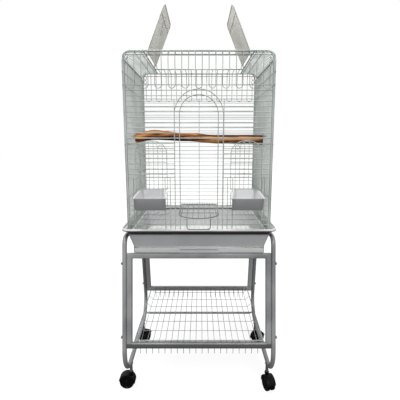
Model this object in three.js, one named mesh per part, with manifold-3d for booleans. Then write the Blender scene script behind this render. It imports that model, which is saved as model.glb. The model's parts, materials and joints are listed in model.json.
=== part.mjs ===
// Bird cage on a wheeled stand, in millimetres, +Z up.
// A wire cage with a drop-down front door, two feeder doors with cups, and two roof flaps
// stands in a seed-guard base with a pull-out tray, on a splayed tube stand with a wire shelf.
import * as THREE from 'three';
import { mergeVertices } from 'three/addons/utils/BufferGeometryUtils.js';
import Module from 'manifold-3d';

const wasm = await Module();
wasm.setup();

// ---------------------------------------------------------------- driving sizes
const GAP = 0.3; // clearance between separate pieces
const WIRE = 2.4; // grille wire
const DOOR_WIRE = 2.8; // wire of the doors, flaps and bail
const RAIL = 4; // frame wire of each cage panel
const PANEL_DEPTH = 5; // depth of a panel's frame, which holds two layers of wire
const PITCH = 15.875; // spacing of the level wires
const BAND_PITCH = 20.4; // spacing of the upright wires in the top band

const HALF_WIDTH = 228.6; // side wall centre plane
const HALF_DEPTH = 177.8; // front and rear wall centre plane
const CAGE_BOTTOM = 611;
const CAGE_TOP = 1169.8;
const BAND_Z = 1071; // foot of the top band
const CORNER_R = 22; // rounded top corners of the front and rear walls
const SIDE_TOP = CAGE_TOP - CORNER_R - 0.8;

const DOORWAY_HALF = 59.5; // inner door post
const ARCH_HALF = 75.4; // outer door post
const ARCH_Z = 983.3; // spring line of both arches
const SILL_Z = 701;
const LINTEL_ROW = 10; // level wire that crosses below the arches, counted down from the band
const DOOR_HINGE = { y: -HALF_DEPTH - 3.4, z: SILL_Z + 3.4 };
const DOOR_HALF = 56;
const DOOR_LENGTH = 197;

const FEEDER_X = 148.6; // centre of each feeder door and cup
const FEEDER_TOP = 790; // bar above the cup opening
const FEEDER_HALF = 50;
const FEEDER_FOOT = 751.2;
const FEEDER_SHOULDER = 867;
const FEEDER_APEX = 906;
const FEEDER_PITCH = 15.5;
const CUP = { front: -238, back: -150, rimFront: 733, rimBack: 750, half: 49, backHalf: 33 };

const FLAP = { hingeX: 160, hingeZ: 1177, length: 151.6, front: -130, back: 75 };
const FLAP_OPEN = { left: 68.3, right: 67.5 }; // degrees above level, leaning inward
const ROOF_OPENING = { half: 165, front: -128, back: 90 };

const SKIRT = { out: 21.1, low: 617, top: 627 };
const LEDGE_Z = CAGE_BOTTOM - GAP;
const TUB_BOTTOM = 537.3;
const TRAY = { half: 212, front: -165.4, back: 161, low: TUB_BOTTOM + 3, top: 558 };

const LEAN = THREE.MathUtils.degToRad(9.8); // splay of the stand's legs
const LEG_TOP = { y: 167, z: 527.5 }; // a point on the legs' centre line
const STAND_TUBE = 17; // square tube of the two end frames
const LOOP = { x: 246.8, r: 8.25, low: 118.3, high: 586, bend: 85, topBend: 30 };
const FRAME_HALF = LOOP.x - LOOP.r - 0.35;
const FRAME_LOW = 227.5;
const FRAME_RISE = 9.6; // top of the end frames past the point LEG_TOP, along the legs
const SHELF = { half: 215, pitch: 20.8, wires: 20, z: 245.8, wire: 1.8, hookZ: 198 };
const SHELF_FLOOR = { z: 231, flare: 17 }; // the floor lies below the rim and inside it

const FLOOR = 16; // height of the floor in the heights given here
const CASTER = { y: 134, wheelR: 26, wheelW: 12, trail: 15, top: LOOP.low - LOOP.r - GAP - FLOOR };

// ---------------------------------------------------------------- colours
const paint = (color, roughness, metalness) => ({ color, roughness, metalness });
const WIRE_PAINT = paint(0xb4bcb9, 0.45, 0.3);
const STAND_PAINT = paint(0x9d9fa2, 0.4, 0.55);
const BASE_PLASTIC = paint(0xb9bbbd, 0.55, 0);
const CUP_PLASTIC = paint(0x9a9aa0, 0.5, 0);
const PERCH_WOOD = paint(0x8a5a32, 0.8, 0);
const CASTER_BLACK = paint(0x141414, 0.5, 0);
const ZINC = paint(0x8c8f92, 0.35, 0.9);

// ---------------------------------------------------------------- solids and booleans
function toSolid(geometry) {
  const bare = geometry.clone();
  bare.deleteAttribute('normal');
  bare.deleteAttribute('uv');
  const merged = mergeVertices(bare, 1e-4);
  const vertProperties = new Float32Array(merged.attributes.position.array);
  const triVerts = new Uint32Array(merged.index.array);
  return new wasm.Manifold(new wasm.Mesh({ numProp: 3, vertProperties, triVerts }));
}

function toGeometry(solid) {
  const mesh = solid.getMesh();
  const geometry = new THREE.BufferGeometry();
  geometry.setAttribute('position', new THREE.BufferAttribute(mesh.vertProperties, 3));
  geometry.setIndex(new THREE.BufferAttribute(mesh.triVerts, 1));
  geometry.computeVertexNormals();
  return geometry;
}

const weld = (pieces) => toGeometry(pieces.map(toSolid).reduce((sum, piece) => sum.add(piece)));

function cut(body, tools) {
  return toGeometry(tools.map(toSolid).reduce((rest, tool) => rest.subtract(tool), toSolid(body)));
}

const common = (a, b) => toGeometry(toSolid(a).intersect(toSolid(b)));

// ---------------------------------------------------------------- shape helpers
const box = (x0, x1, y0, y1, z0, z1) =>
  new THREE.BoxGeometry(x1 - x0, y1 - y0, z1 - z0).translate((x0 + x1) / 2, (y0 + y1) / 2, (z0 + z1) / 2);

const wireX = (x0, x1, y, z, w = WIRE) => box(x0, x1, y - w / 2, y + w / 2, z - w / 2, z + w / 2);
const wireY = (x, y0, y1, z, w = WIRE) => box(x - w / 2, x + w / 2, y0, y1, z - w / 2, z + w / 2);
const wireZ = (x, y, z0, z1, w = WIRE) => box(x - w / 2, x + w / 2, y - w / 2, y + w / 2, z0, z1);

// A block whose foot and top are rectangles of different size.
function taper([halfX0, halfY0, z0], [halfX1, halfY1, z1]) {
  const block = new THREE.BoxGeometry(2, 2, z1 - z0).translate(0, 0, (z0 + z1) / 2);
  const position = block.attributes.position;
  for (let i = 0; i < position.count; i += 1) {
    const foot = position.getZ(i) < (z0 + z1) / 2;
    position.setX(i, position.getX(i) * (foot ? halfX0 : halfX1));
    position.setY(i, position.getY(i) * (foot ? halfY0 : halfY1));
  }
  return block;
}

// A curve that passes straight from point to point, with its corners mitred.
class WirePath extends THREE.Curve {
  constructor(points) {
    super();
    this.points = points;
  }

  getPoint(t, target = new THREE.Vector3()) {
    const place = t * (this.points.length - 1);
    const i = Math.min(Math.floor(place), this.points.length - 2);
    return target.lerpVectors(this.points[i], this.points[i + 1], place - i);
  }

  getPointAt(u, target) {
    return this.getPoint(u, target);
  }

  getTangentAt(u, target = new THREE.Vector3()) {
    const step = 0.5 / (this.points.length - 1);
    const ahead = this.getPoint(Math.min(u + step, 1));
    return target.copy(ahead).sub(this.getPoint(Math.max(u - step, 0))).normalize();
  }
}

function polygon(radius, sides) {
  const corners = [];
  for (let i = 0; i < sides; i += 1) {
    const angle = ((i + 0.5) * 2 * Math.PI) / sides;
    corners.push(new THREE.Vector2(radius * Math.cos(angle), radius * Math.sin(angle)));
  }
  return new THREE.Shape(corners);
}

function tube(points, radius, sides) {
  const extrudePath = new WirePath(points);
  return new THREE.ExtrudeGeometry(polygon(radius, sides), { steps: points.length - 1, extrudePath });
}

// A bent wire of square section.
const bentWire = (points, w = WIRE) => tube(points, w * Math.SQRT1_2, 4);

// Points of an arc in a plane; place(a, b) turns the plane's coordinates into a Vector3.
function arc(place, [a, b], radius, fromDeg, toDeg, count) {
  return Array.from({ length: count + 1 }, (_, i) => {
    const angle = THREE.MathUtils.degToRad(fromDeg + ((toDeg - fromDeg) * i) / count);
    return place(a + radius * Math.cos(angle), b + radius * Math.sin(angle));
  });
}

// A flat shape drawn in X and Z, with its thickness centred on y.
const plateXZ = (shape, depth, y, curveSegments = 5) =>
  new THREE.ExtrudeGeometry(shape, { depth, bevelEnabled: false, curveSegments })
    .rotateX(Math.PI / 2)
    .translate(0, y + depth / 2, 0);

// A flat shape drawn in Y and Z, with its thickness centred on x.
const plateYZ = (shape, depth, x, curveSegments = 5) =>
  new THREE.ExtrudeGeometry(shape, { depth, bevelEnabled: false, curveSegments })
    .rotateX(Math.PI / 2)
    .rotateZ(Math.PI / 2)
    .translate(x - depth / 2, 0, 0);

// A flat shape drawn in X and Y, standing on z.
const plateXY = (shape, depth, z, curveSegments = 5) =>
  new THREE.ExtrudeGeometry(shape, { depth, bevelEnabled: false, curveSegments }).translate(0, 0, z);

// A rectangle with its two upper corners rounded.
function roundTop(half, low, high, r) {
  const shape = new THREE.Shape();
  shape.moveTo(-half, low);
  shape.lineTo(half, low);
  shape.lineTo(half, high - r);
  shape.absarc(half - r, high - r, r, 0, Math.PI / 2, false);
  shape.lineTo(-half + r, high);
  shape.absarc(-half + r, high - r, r, Math.PI / 2, Math.PI, false);
  return shape;
}

function rectangle(a0, a1, b0, b1) {
  return new THREE.Shape([
    new THREE.Vector2(a0, b0),
    new THREE.Vector2(a1, b0),
    new THREE.Vector2(a1, b1),
    new THREE.Vector2(a0, b1),
  ]);
}

function withHole(outer, inner) {
  outer.holes.push(inner);
  return outer;
}

// A half ring standing on its two feet, drawn about (0, b).
function archBand(radius, b, w) {
  const shape = new THREE.Shape();
  shape.absarc(0, b, radius + w / 2, 0, Math.PI, false);
  shape.absarc(0, b, radius - w / 2, Math.PI, 0, true);
  return shape;
}

function ringShape(a, b, halfA, halfB, w) {
  const outer = new THREE.Shape();
  outer.absellipse(a, b, halfA, halfB, 0, 2 * Math.PI, false, 0);
  const inner = new THREE.Path();
  inner.absellipse(a, b, halfA - w, halfB - w, 0, 2 * Math.PI, true, 0);
  return withHole(outer, inner);
}

const xz = (y) => (a, b) => new THREE.Vector3(a, y, b);
const yz = (x) => (a, b) => new THREE.Vector3(x, a, b);
const rod = (radius, length, sides = 8) => new THREE.CylinderGeometry(radius, radius, length, sides);
const count = (n) => Array.from({ length: n }, (_, i) => i);
const mirrored = (n) => count(2 * n + 1).map((i) => i - n); // -n to n
const SIDES = { left: -1, right: 1 };

// ---------------------------------------------------------------- scene
const cage = new THREE.Group();

function add(name, geometry, colours, parent = cage) {
  const mesh = new THREE.Mesh(geometry, new THREE.MeshStandardMaterial(colours));
  mesh.name = name;
  parent.add(mesh);
  return mesh;
}

// ---------------------------------------------------------------- front and rear walls
const WALL_HALF = HALF_WIDTH - RAIL / 2 - GAP;
const INNER_EDGE = WALL_HALF - RAIL;
const bandX = (side, i) => side * (i + 0.5) * BAND_PITCH; // uprights, counted out from the middle
// Uprights on each side of the middle, with one more under the corner rings.
const BAND_UPRIGHTS = Math.floor(INNER_EDGE / BAND_PITCH - 0.5);
const RING = { half: [6, 8], x: INNER_EDGE - 5.6, z: [1152, 1136.6] };
// Heights of the level wires, from below the band down to the floor.
const rows = (space) => Math.floor(space / PITCH);
const LEVELS = count(rows(BAND_Z - CAGE_BOTTOM - RAIL)).map((i) => BAND_Z - (i + 1) * PITCH);
const LINTEL_Z = LEVELS[LINTEL_ROW - 1];

// What both walls share. front is -1 or 1; the level wires lie inside, the uprights outside.
function wallParts(front) {
  const y = front * HALF_DEPTH;
  const upright = y + front * (WIRE / 2 + 0.05);
  const level = y - front * (WIRE / 2 + 0.05);
  const outline = withHole(
    roundTop(WALL_HALF, CAGE_BOTTOM, CAGE_TOP, CORNER_R),
    roundTop(INNER_EDGE, CAGE_BOTTOM + RAIL, CAGE_TOP - RAIL, CORNER_R - RAIL),
  );
  const parts = [
    plateXZ(outline, PANEL_DEPTH, y),
    box(-INNER_EDGE - 1, INNER_EDGE + 1, y - PANEL_DEPTH / 2, y + PANEL_DEPTH / 2, BAND_Z - 1.5, BAND_Z + 1.5),
    wireX(-INNER_EDGE - 1, INNER_EDGE + 1, level, CAGE_TOP - 12),
  ];
  for (const side of Object.values(SIDES)) {
    for (const i of count(BAND_UPRIGHTS)) {
      parts.push(wireZ(bandX(side, i), upright, BAND_Z, CAGE_TOP - RAIL / 2));
    }
    parts.push(wireZ(bandX(side, BAND_UPRIGHTS), upright, BAND_Z, RING.z[1] - RING.half[1] + 1.5));
    for (const z of RING.z) {
      parts.push(plateXZ(ringShape(side * RING.x, z, ...RING.half, WIRE), WIRE, upright, 6));
    }
  }
  return { parts, y, upright, level };
}

const POSTS = [90.8, 107, 200, 208]; // uprights beside each cup opening
const LOWER_WIRES = count(rows(SILL_Z - CAGE_BOTTOM - RAIL)).map((i) => SILL_Z - i * PITCH);

function frontWall() {
  const { parts, y, upright, level } = wallParts(-1);
  const deep = (x0, x1, z0, z1) => box(x0, x1, y - PANEL_DEPTH / 2, y + PANEL_DEPTH / 2, z0, z1);
  for (const z of [...LEVELS.slice(0, LINTEL_ROW - 1), ...LOWER_WIRES]) {
    parts.push(wireX(-INNER_EDGE - 1, INNER_EDGE + 1, level, z));
  }
  parts.push(deep(-INNER_EDGE - 1, INNER_EDGE + 1, LINTEL_Z - 1.5, LINTEL_Z + 1.5));
  parts.push(deep(-DOORWAY_HALF, DOORWAY_HALF, SILL_Z - 1.5, SILL_Z + 1.5));
  for (const side of Object.values(SIDES)) {
    const span = (a, b) => [Math.min(side * a, side * b), Math.max(side * a, side * b)];
    for (const z of LEVELS.slice(LINTEL_ROW).filter((at) => at > FEEDER_TOP + RAIL)) {
      parts.push(wireX(...span(ARCH_HALF, INNER_EDGE + 1), level, z));
    }
    parts.push(deep(...span(ARCH_HALF, INNER_EDGE + 1), FEEDER_TOP - 1.5, FEEDER_TOP + 1.5));
    for (const x of [DOORWAY_HALF, ARCH_HALF]) {
      parts.push(wireZ(side * x, upright, CAGE_BOTTOM + 2, ARCH_Z + 1));
    }
    parts.push(deep(...span(ARCH_HALF - WIRE / 2, ARCH_HALF + WIRE / 2), FEEDER_TOP - 1.5, LINTEL_Z));
    for (const x of POSTS) {
      parts.push(wireZ(side * x, upright, CAGE_BOTTOM + 2, FEEDER_TOP));
    }
  }
  for (const radius of [ARCH_HALF, DOORWAY_HALF]) {
    parts.push(plateXZ(archBand(radius, ARCH_Z, WIRE), WIRE, upright, 10));
  }
  return weld(parts);
}

function rearWall() {
  const { parts, upright, level } = wallParts(1);
  for (const z of LEVELS) {
    parts.push(wireX(-INNER_EDGE - 1, INNER_EDGE + 1, level, z));
  }
  for (const x of [-102, 0, 102]) {
    parts.push(wireZ(x, upright, CAGE_BOTTOM + 2, BAND_Z));
  }
  return weld(parts);
}

add('front_wall', frontWall(), WIRE_PAINT);
add('rear_wall', rearWall(), WIRE_PAINT);

// Places one pitch apart on both sides of the middle, half a pitch off it, up to a limit.
function halfSteps(limit) {
  const steps = Math.floor(limit / PITCH + 0.5);
  return count(steps).flatMap((i) => [-(i + 0.5) * PITCH, (i + 0.5) * PITCH]);
}

// ---------------------------------------------------------------- side walls
const HEAVY_BARS = [1109, BAND_Z, 893.5, 723]; // stout wires whose ends show past the frame

function sideWall(side) {
  const x = side * HALF_WIDTH;
  const reach = HALF_DEPTH + PANEL_DEPTH / 2;
  const upright = x - side * (WIRE / 2 + 0.1);
  const outline = withHole(
    rectangle(-reach, reach, CAGE_BOTTOM, SIDE_TOP),
    rectangle(-reach + RAIL, reach - RAIL, CAGE_BOTTOM + RAIL, SIDE_TOP - RAIL),
  );
  const parts = [plateYZ(outline, RAIL, x)];
  for (const z of HEAVY_BARS) {
    const [low, high] = z === BAND_Z ? [-RAIL / 2, RAIL / 2] : [-RAIL / 2, 0];
    parts.push(box(...[x + side * low, x + side * high].sort((a, b) => a - b), -reach - 5, reach + 5, z - 1.5, z + 1.5));
  }
  for (const y of halfSteps(reach - RAIL - WIRE)) {
    parts.push(wireZ(upright, y, CAGE_BOTTOM + 2, SIDE_TOP - 2, WIRE));
  }
  return weld(parts);
}

for (const [name, side] of Object.entries(SIDES)) {
  add(`${name}_wall`, sideWall(side), WIRE_PAINT);
}

// ---------------------------------------------------------------- roof
const ROOF_Z = CAGE_TOP - 2; // centre of the roof wires
const ROOF_REACH = HALF_DEPTH - PANEL_DEPTH / 2 - GAP; // rear and front limit of the roof panel
const HINGE_EAR = { w: 10, t: 3, r: 2.6 };

// A roof wire from x = inner out to one side, bent down over the side wall.
function hoop(side, inner, y, z, w) {
  const r = z - SIDE_TOP - GAP - 2;
  const centre = [HALF_WIDTH - r, z - r];
  const bend = arc((a, b) => new THREE.Vector3(side * a, y, b), centre, r, 90, 0, 3);
  const foot = new THREE.Vector3(side * HALF_WIDTH, y, SIDE_TOP + GAP + 1);
  return bentWire([new THREE.Vector3(side * inner, y, z), ...bend, foot], w);
}

function hingeEar(side, y) {
  const x = side * FLAP.hingeX;
  const plate = box(x - 5, x + 5, y - HINGE_EAR.t / 2, y + HINGE_EAR.t / 2, ROOF_Z, FLAP.hingeZ + 4.5);
  return cut(plate, [rod(HINGE_EAR.r, 3 * HINGE_EAR.t).translate(x, y, FLAP.hingeZ)]);
}

function roofGrid() {
  const { half, front, back } = ROOF_OPENING;
  const edge = ROOF_REACH - RAIL / 2;
  const parts = [];
  for (const side of Object.values(SIDES)) {
    for (const y of [-edge, edge]) {
      parts.push(hoop(side, -1, y, ROOF_Z, RAIL));
    }
    for (const y of halfSteps(edge - RAIL)) {
      parts.push(hoop(side, half, y, ROOF_Z - 2.6, WIRE));
    }
    const x = side * HALF_WIDTH;
    const railZ = SIDE_TOP + GAP;
    parts.push(box(x - RAIL / 2, x + RAIL / 2, -ROOF_REACH, ROOF_REACH, railZ, railZ + 3));
    const barX = side * half;
    parts.push(box(barX - 2, barX + 2, -edge, edge, ROOF_Z - 4, ROOF_Z + 2));
    for (const i of [8, 9]) {
      parts.push(wireY(bandX(side, i), -edge, edge, ROOF_Z));
    }
    for (const i of count(8)) {
      parts.push(wireY(bandX(side, i), -edge, front, ROOF_Z));
      parts.push(wireY(bandX(side, i), back, edge, ROOF_Z));
    }
    for (const y of [FLAP.front - 1.8 - GAP, FLAP.back + 1.8 + GAP]) {
      parts.push(hingeEar(side, y));
    }
  }
  for (const y of [front, back]) {
    parts.push(wireX(-half, half, y, ROOF_Z, RAIL));
  }
  return weld(parts);
}

add('roof_grid', roofGrid(), WIRE_PAINT);

// A flap lies level when shut: x runs from the hinge to the free edge.
function flapGeometry() {
  const { length, front, back } = FLAP;
  const r = 18;
  const outline = new THREE.Shape();
  outline.moveTo(-DOOR_WIRE / 2, front);
  outline.lineTo(length - r, front);
  outline.absarc(length - r, front + r, r, -Math.PI / 2, 0, false);
  outline.absarc(length - r, back - r, r, 0, Math.PI / 2, false);
  outline.lineTo(-DOOR_WIRE / 2, back);
  const window = new THREE.Path();
  const inset = DOOR_WIRE;
  window.moveTo(DOOR_WIRE / 2, front + inset);
  window.lineTo(length - r, front + inset);
  window.absarc(length - r, front + r, r - inset, -Math.PI / 2, 0, false);
  window.absarc(length - r, back - r, r - inset, 0, Math.PI / 2, false);
  window.lineTo(DOOR_WIRE / 2, back - inset);
  const parts = [plateXY(withHole(outline, window), DOOR_WIRE, -DOOR_WIRE / 2, 3)];
  const wires = 15;
  const step = (back - front) / (wires + 1);
  for (const i of count(wires)) {
    const end = i === 0 || i === wires - 1 ? length - 4 : length - 1;
    parts.push(wireX(0, end, front + (i + 1) * step, 0.5, WIRE - 0.8));
  }
  parts.push(box(length * 0.8 - 1.2, length * 0.8 + 1.2, front + 1, back - 1, -DOOR_WIRE / 2, -0.4));
  for (const y of [front - 2, back + 2]) {
    parts.push(rod(DOOR_WIRE * 0.6, 5).translate(0, y, 0));
  }
  return weld(parts);
}

for (const [name, side] of Object.entries(SIDES)) {
  const flap = add(`${name}_roof_flap`, flapGeometry(), WIRE_PAINT);
  flap.position.set(side * FLAP.hingeX, 0, FLAP.hingeZ);
  const open = THREE.MathUtils.degToRad(FLAP_OPEN[name]);
  flap.rotation.y = side < 0 ? -open : Math.PI + open;
}

// ---------------------------------------------------------------- main door and its bail
function mainDoor() {
  const { y, z } = DOOR_HINGE;
  const w = DOOR_WIRE;
  const round = y - DOOR_LENGTH + DOOR_HALF;
  const outline = new THREE.Shape();
  outline.moveTo(DOOR_HALF, y + w / 2);
  outline.lineTo(-DOOR_HALF, y + w / 2);
  outline.absarc(0, round, DOOR_HALF, Math.PI, 2 * Math.PI, false);
  const window = new THREE.Path();
  window.moveTo(DOOR_HALF - w, y - w / 2);
  window.lineTo(-DOOR_HALF + w, y - w / 2);
  window.absarc(0, round, DOOR_HALF - w, Math.PI, 2 * Math.PI, false);
  const parts = [plateXY(withHole(outline, window), w, z - w / 2, 12)];
  for (const i of mirrored(rows(DOOR_HALF - w - WIRE))) {
    const x = i * PITCH;
    const end = round - Math.sqrt((DOOR_HALF - 2) ** 2 - x ** 2);
    parts.push(wireY(x, end, y, z + 0.6, WIRE - 0.8));
  }
  for (const reach of [62, 124]) {
    parts.push(box(1 - DOOR_HALF, DOOR_HALF - 1, y - reach - 1, y - reach + 1, z - w / 2, z - 0.3));
  }
  return weld(parts);
}

add('main_door', mainDoor(), WIRE_PAINT);

const BAIL = { half: 31, drop: 29, y: DOOR_HINGE.y - DOOR_LENGTH + 11, z: DOOR_HINGE.z - 3.4 };

function doorBail() {
  const { half, drop, y, z } = BAIL;
  const r = 6;
  const low = z - drop;
  const path = [
    new THREE.Vector3(-half, y, z + 1.2),
    ...arc(xz(y), [-half + r, low + r], r, 180, 270, 3),
    ...arc(xz(y), [half - r, low + r], r, 270, 360, 3),
    new THREE.Vector3(half, y, z + 1.2),
  ];
  return weld([bentWire(path, WIRE), wireX(-half - 4, -half, y, z), wireX(half, half + 4, y, z)]);
}

add('door_bail', doorBail(), WIRE_PAINT);

// ---------------------------------------------------------------- feeder doors, holders and cups
const FEEDER_Y = -HALF_DEPTH - PANEL_DEPTH / 2 - GAP - WIRE / 2;
const SCROLL_R = 7;
const TOP_SCROLL_Z = FEEDER_APEX - WIRE - SCROLL_R + 0.6;
const SIDE_SCROLL = { x: 2 * FEEDER_PITCH - 4.5, z: FEEDER_SHOULDER + 18 };

function feederDoor(side) {
  const centre = side * FEEDER_X;
  const rise = FEEDER_APEX - FEEDER_SHOULDER;
  const arch = new THREE.Shape();
  arch.moveTo(-FEEDER_HALF, FEEDER_FOOT);
  arch.lineTo(FEEDER_HALF, FEEDER_FOOT);
  arch.lineTo(FEEDER_HALF, FEEDER_SHOULDER);
  arch.absellipse(0, FEEDER_SHOULDER, FEEDER_HALF, rise, 0, Math.PI, false, 0);
  const window = new THREE.Path();
  const inner = FEEDER_HALF - WIRE;
  window.moveTo(-inner, FEEDER_FOOT + WIRE);
  window.lineTo(inner, FEEDER_FOOT + WIRE);
  window.lineTo(inner, FEEDER_SHOULDER);
  window.absellipse(0, FEEDER_SHOULDER, inner, rise - WIRE, 0, Math.PI, false, 0);
  const parts = [plateXZ(withHole(arch, window), WIRE, FEEDER_Y, 8)];
  for (const i of mirrored(2)) {
    const top = FEEDER_SHOULDER + rise * Math.sqrt(1 - (i / 3.2) ** 2);
    const high = Math.abs(i) === 1 ? top - 12 : top - 1;
    const end = i === 0 ? TOP_SCROLL_Z - SCROLL_R + 0.4 : high;
    parts.push(wireZ(i * FEEDER_PITCH, FEEDER_Y - 0.55, FEEDER_FOOT + 1, end, 1.3));
  }
  for (const z of [FEEDER_TOP + 10, FEEDER_TOP + 48]) {
    parts.push(wireX(1 - FEEDER_HALF, FEEDER_HALF - 1, FEEDER_Y + 0.6, z, 0.9));
  }
  for (const place of mirrored(1)) {
    const z = place === 0 ? TOP_SCROLL_Z : SIDE_SCROLL.z;
    parts.push(plateXZ(ringShape(place * SIDE_SCROLL.x, z, SCROLL_R, SCROLL_R, 1.8), 1.8, FEEDER_Y, 7));
  }
  return weld(parts).translate(centre, 0, 0);
}

const CUP_WALL = 2.2;
const CUP_FLANGE = 3;
const RIM_BREAK_Y = -184; // where the rim stops climbing
const RIM_THICK = 2;
const CUP_HOLDER = { inner: 107, outer: 200, low: 701.6, high: 742, tip: -226, turn: -197 };

function rimHeight(y) {
  const climb = (y - CUP.front) / (RIM_BREAK_Y - CUP.front);
  return CUP.rimFront + (CUP.rimBack - CUP.rimFront) * climb;
}

// The cup seen from the side; grow moves its front, back and floor outward.
function cupProfile(grow, rise) {
  const { front, back, rimFront, rimBack } = CUP;
  return new THREE.Shape([
    new THREE.Vector2(front - grow, rimFront + rise),
    new THREE.Vector2(front + 5 - grow, 696 - grow),
    new THREE.Vector2(front + 14, 696 - grow),
    new THREE.Vector2(back - 4 + grow, 708 - grow),
    new THREE.Vector2(back + grow, rimBack + rise),
    new THREE.Vector2(RIM_BREAK_Y, rimBack + rise),
  ]);
}

// The cup seen from above; its sides draw in towards the back.
function cupPlan(grow) {
  const { front, back, half, backHalf } = CUP;
  return new THREE.Shape([
    new THREE.Vector2(-half - grow, front - 5),
    new THREE.Vector2(half + grow, front - 5),
    new THREE.Vector2(backHalf + grow, back + 5),
    new THREE.Vector2(-backHalf - grow, back + 5),
  ]);
}

function cup(side) {
  const outer = common(plateYZ(cupProfile(0, 0), 140, 0), plateXY(cupPlan(0), 100, 680));
  const hollow = common(plateYZ(cupProfile(-CUP_WALL, 20), 140, 0), plateXY(cupPlan(-CUP_WALL), 120, 680));
  const rimBack = RIM_BREAK_Y - 4;
  const rim = new THREE.Shape([
    new THREE.Vector2(CUP.front, rimHeight(CUP.front) - RIM_THICK),
    new THREE.Vector2(rimBack, rimHeight(rimBack) - RIM_THICK),
    new THREE.Vector2(rimBack, rimHeight(rimBack)),
    new THREE.Vector2(CUP.front, rimHeight(CUP.front)),
  ]);
  const flange = common(plateYZ(rim, 140, 0), plateXY(cupPlan(CUP_FLANGE), 100, 680));
  return cut(weld([outer, flange]), [hollow]).translate(side * FEEDER_X, 0, 0);
}

// A wire cradle against the posts beside the cup opening, with an arm under each cup rim.
function cupHolder(side) {
  const w = 2;
  const y = -HALF_DEPTH - PANEL_DEPTH / 2 + 0.05 - GAP - w / 2;
  const low = CUP_HOLDER.low;
  const taperRate = (CUP.half - CUP.backHalf) / (CUP.back - CUP.front + 10);
  const bodyHalf = (at) => CUP.half - taperRate * (at - CUP.front + 5);
  const armX = (at) => bodyHalf(at) + w / 2 + 0.6;
  const armZ = (at) => rimHeight(at) - RIM_THICK - w / 2 - GAP - 0.4;
  const half = (s) => Math.abs((s === side ? CUP_HOLDER.outer : CUP_HOLDER.inner) - FEEDER_X);
  const arm = (s) => [
    new THREE.Vector3(s * armX(CUP_HOLDER.tip), CUP_HOLDER.tip, armZ(CUP_HOLDER.tip)),
    new THREE.Vector3(s * armX(CUP_HOLDER.turn), CUP_HOLDER.turn, armZ(CUP_HOLDER.turn)),
    new THREE.Vector3(s * half(s), y, CUP_HOLDER.high),
    new THREE.Vector3(s * half(s), y, low + w),
    new THREE.Vector3(s * (half(s) - w), y, low),
  ];
  return bentWire([...arm(-1), ...arm(1).reverse()], w).translate(side * FEEDER_X, 0, 0);
}

for (const [name, side] of Object.entries(SIDES)) {
  add(`${name}_feeder_door`, feederDoor(side), WIRE_PAINT);
  add(`${name}_cup`, cup(side), CUP_PLASTIC);
  add(`${name}_cup_holder`, cupHolder(side), WIRE_PAINT);
}

// ---------------------------------------------------------------- perch
const PERCH = { y: -14, z: 920.2, r: 16, stud: 2.6 };
// The branch from its left end, -1, to its right end, 1: height of its middle over the stud, and girth.
const BRANCH = [
  { along: -1, rise: -6.7, girth: 1.02 },
  { along: -0.73, rise: 4.5, girth: 1.08 },
  { along: -0.2, rise: -3.2, girth: 0.94 },
  { along: 0.32, rise: -11, girth: 0.98 },
  { along: 1, rise: -13.1, girth: 1.1 },
];

function branchAt(along) {
  const next = Math.max(1, BRANCH.findIndex((knot) => knot.along >= along - 1e-6));
  const [from, to] = [BRANCH[next - 1], BRANCH[next]];
  const share = THREE.MathUtils.smoothstep(along, from.along, to.along);
  return [
    THREE.MathUtils.lerp(from.rise, to.rise, share),
    THREE.MathUtils.lerp(from.girth, to.girth, share),
  ];
}

// A natural branch: its middle line wanders and its thickness changes along it.
function perch() {
  const half = HALF_WIDTH - WIRE - 0.2; // its ends meet the uprights of the side walls
  const branch = new THREE.CylinderGeometry(PERCH.r, PERCH.r, 2 * half, 9, 10).rotateZ(Math.PI / 2);
  const position = branch.attributes.position;
  for (let i = 0; i < position.count; i += 1) {
    const along = position.getX(i) / half;
    const [rise, girth] = branchAt(along);
    position.setY(i, position.getY(i) * girth + PERCH.y + 2 * Math.sin(3 * along));
    position.setZ(i, position.getZ(i) * girth + PERCH.z + rise);
  }
  const stud = rod(PERCH.stud, 2 * (HALF_WIDTH + 12)).rotateZ(Math.PI / 2).translate(0, PERCH.y, PERCH.z);
  return weld([branch, stud]);
}

function perchNut(side) {
  const face = HALF_WIDTH - 0.1 + GAP; // outer side of the side wall's wires
  const turned = (radius, from, to, sides) =>
    rod(radius, to - from, sides).rotateZ(Math.PI / 2).translate((from + to) / 2, 0, 0);
  const blank = weld([turned(9.5, face, face + 1.6, 12), turned(6, face + 1.5, face + 6, 6)]);
  const solid = cut(blank, [turned(PERCH.stud + GAP, face - 5, face + 20, 8)]);
  return side > 0 ? solid : solid.rotateZ(Math.PI);
}

add('perch', perch(), PERCH_WOOD);
for (const [name, side] of Object.entries(SIDES)) {
  add(`${name}_perch_nut`, perchNut(side).translate(0, PERCH.y, PERCH.z), ZINC);
}

// ---------------------------------------------------------------- base, grate and tray
// Half sizes of the base at a distance out from the cage walls.
const outBy = (out, z) => [HALF_WIDTH + out, HALF_DEPTH + out, z];

function baseTub() {
  const body = weld([
    taper(outBy(SKIRT.out, SKIRT.low), outBy(SKIRT.out, SKIRT.top)),
    taper(outBy(-2.6, 600), outBy(SKIRT.out, SKIRT.low)),
    taper(outBy(-11.6, 561), outBy(-2.6, 600)),
    taper(outBy(-11.6, TUB_BOTTOM), outBy(-11.6, 561)),
  ]);
  const slot = box(-TRAY.half - 0.4, TRAY.half + 0.4, -HALF_DEPTH, -100, TRAY.low - GAP, TRAY.top + 0.4);
  return cut(body, [
    taper(outBy(6, LEDGE_Z), outBy(18.8, SKIRT.top + 0.1)),
    taper(outBy(-15, 561), outBy(-12, LEDGE_Z + 0.1)),
    taper(outBy(-15, TRAY.low - GAP), outBy(-15, 561.1)),
    slot,
  ]);
}

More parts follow.
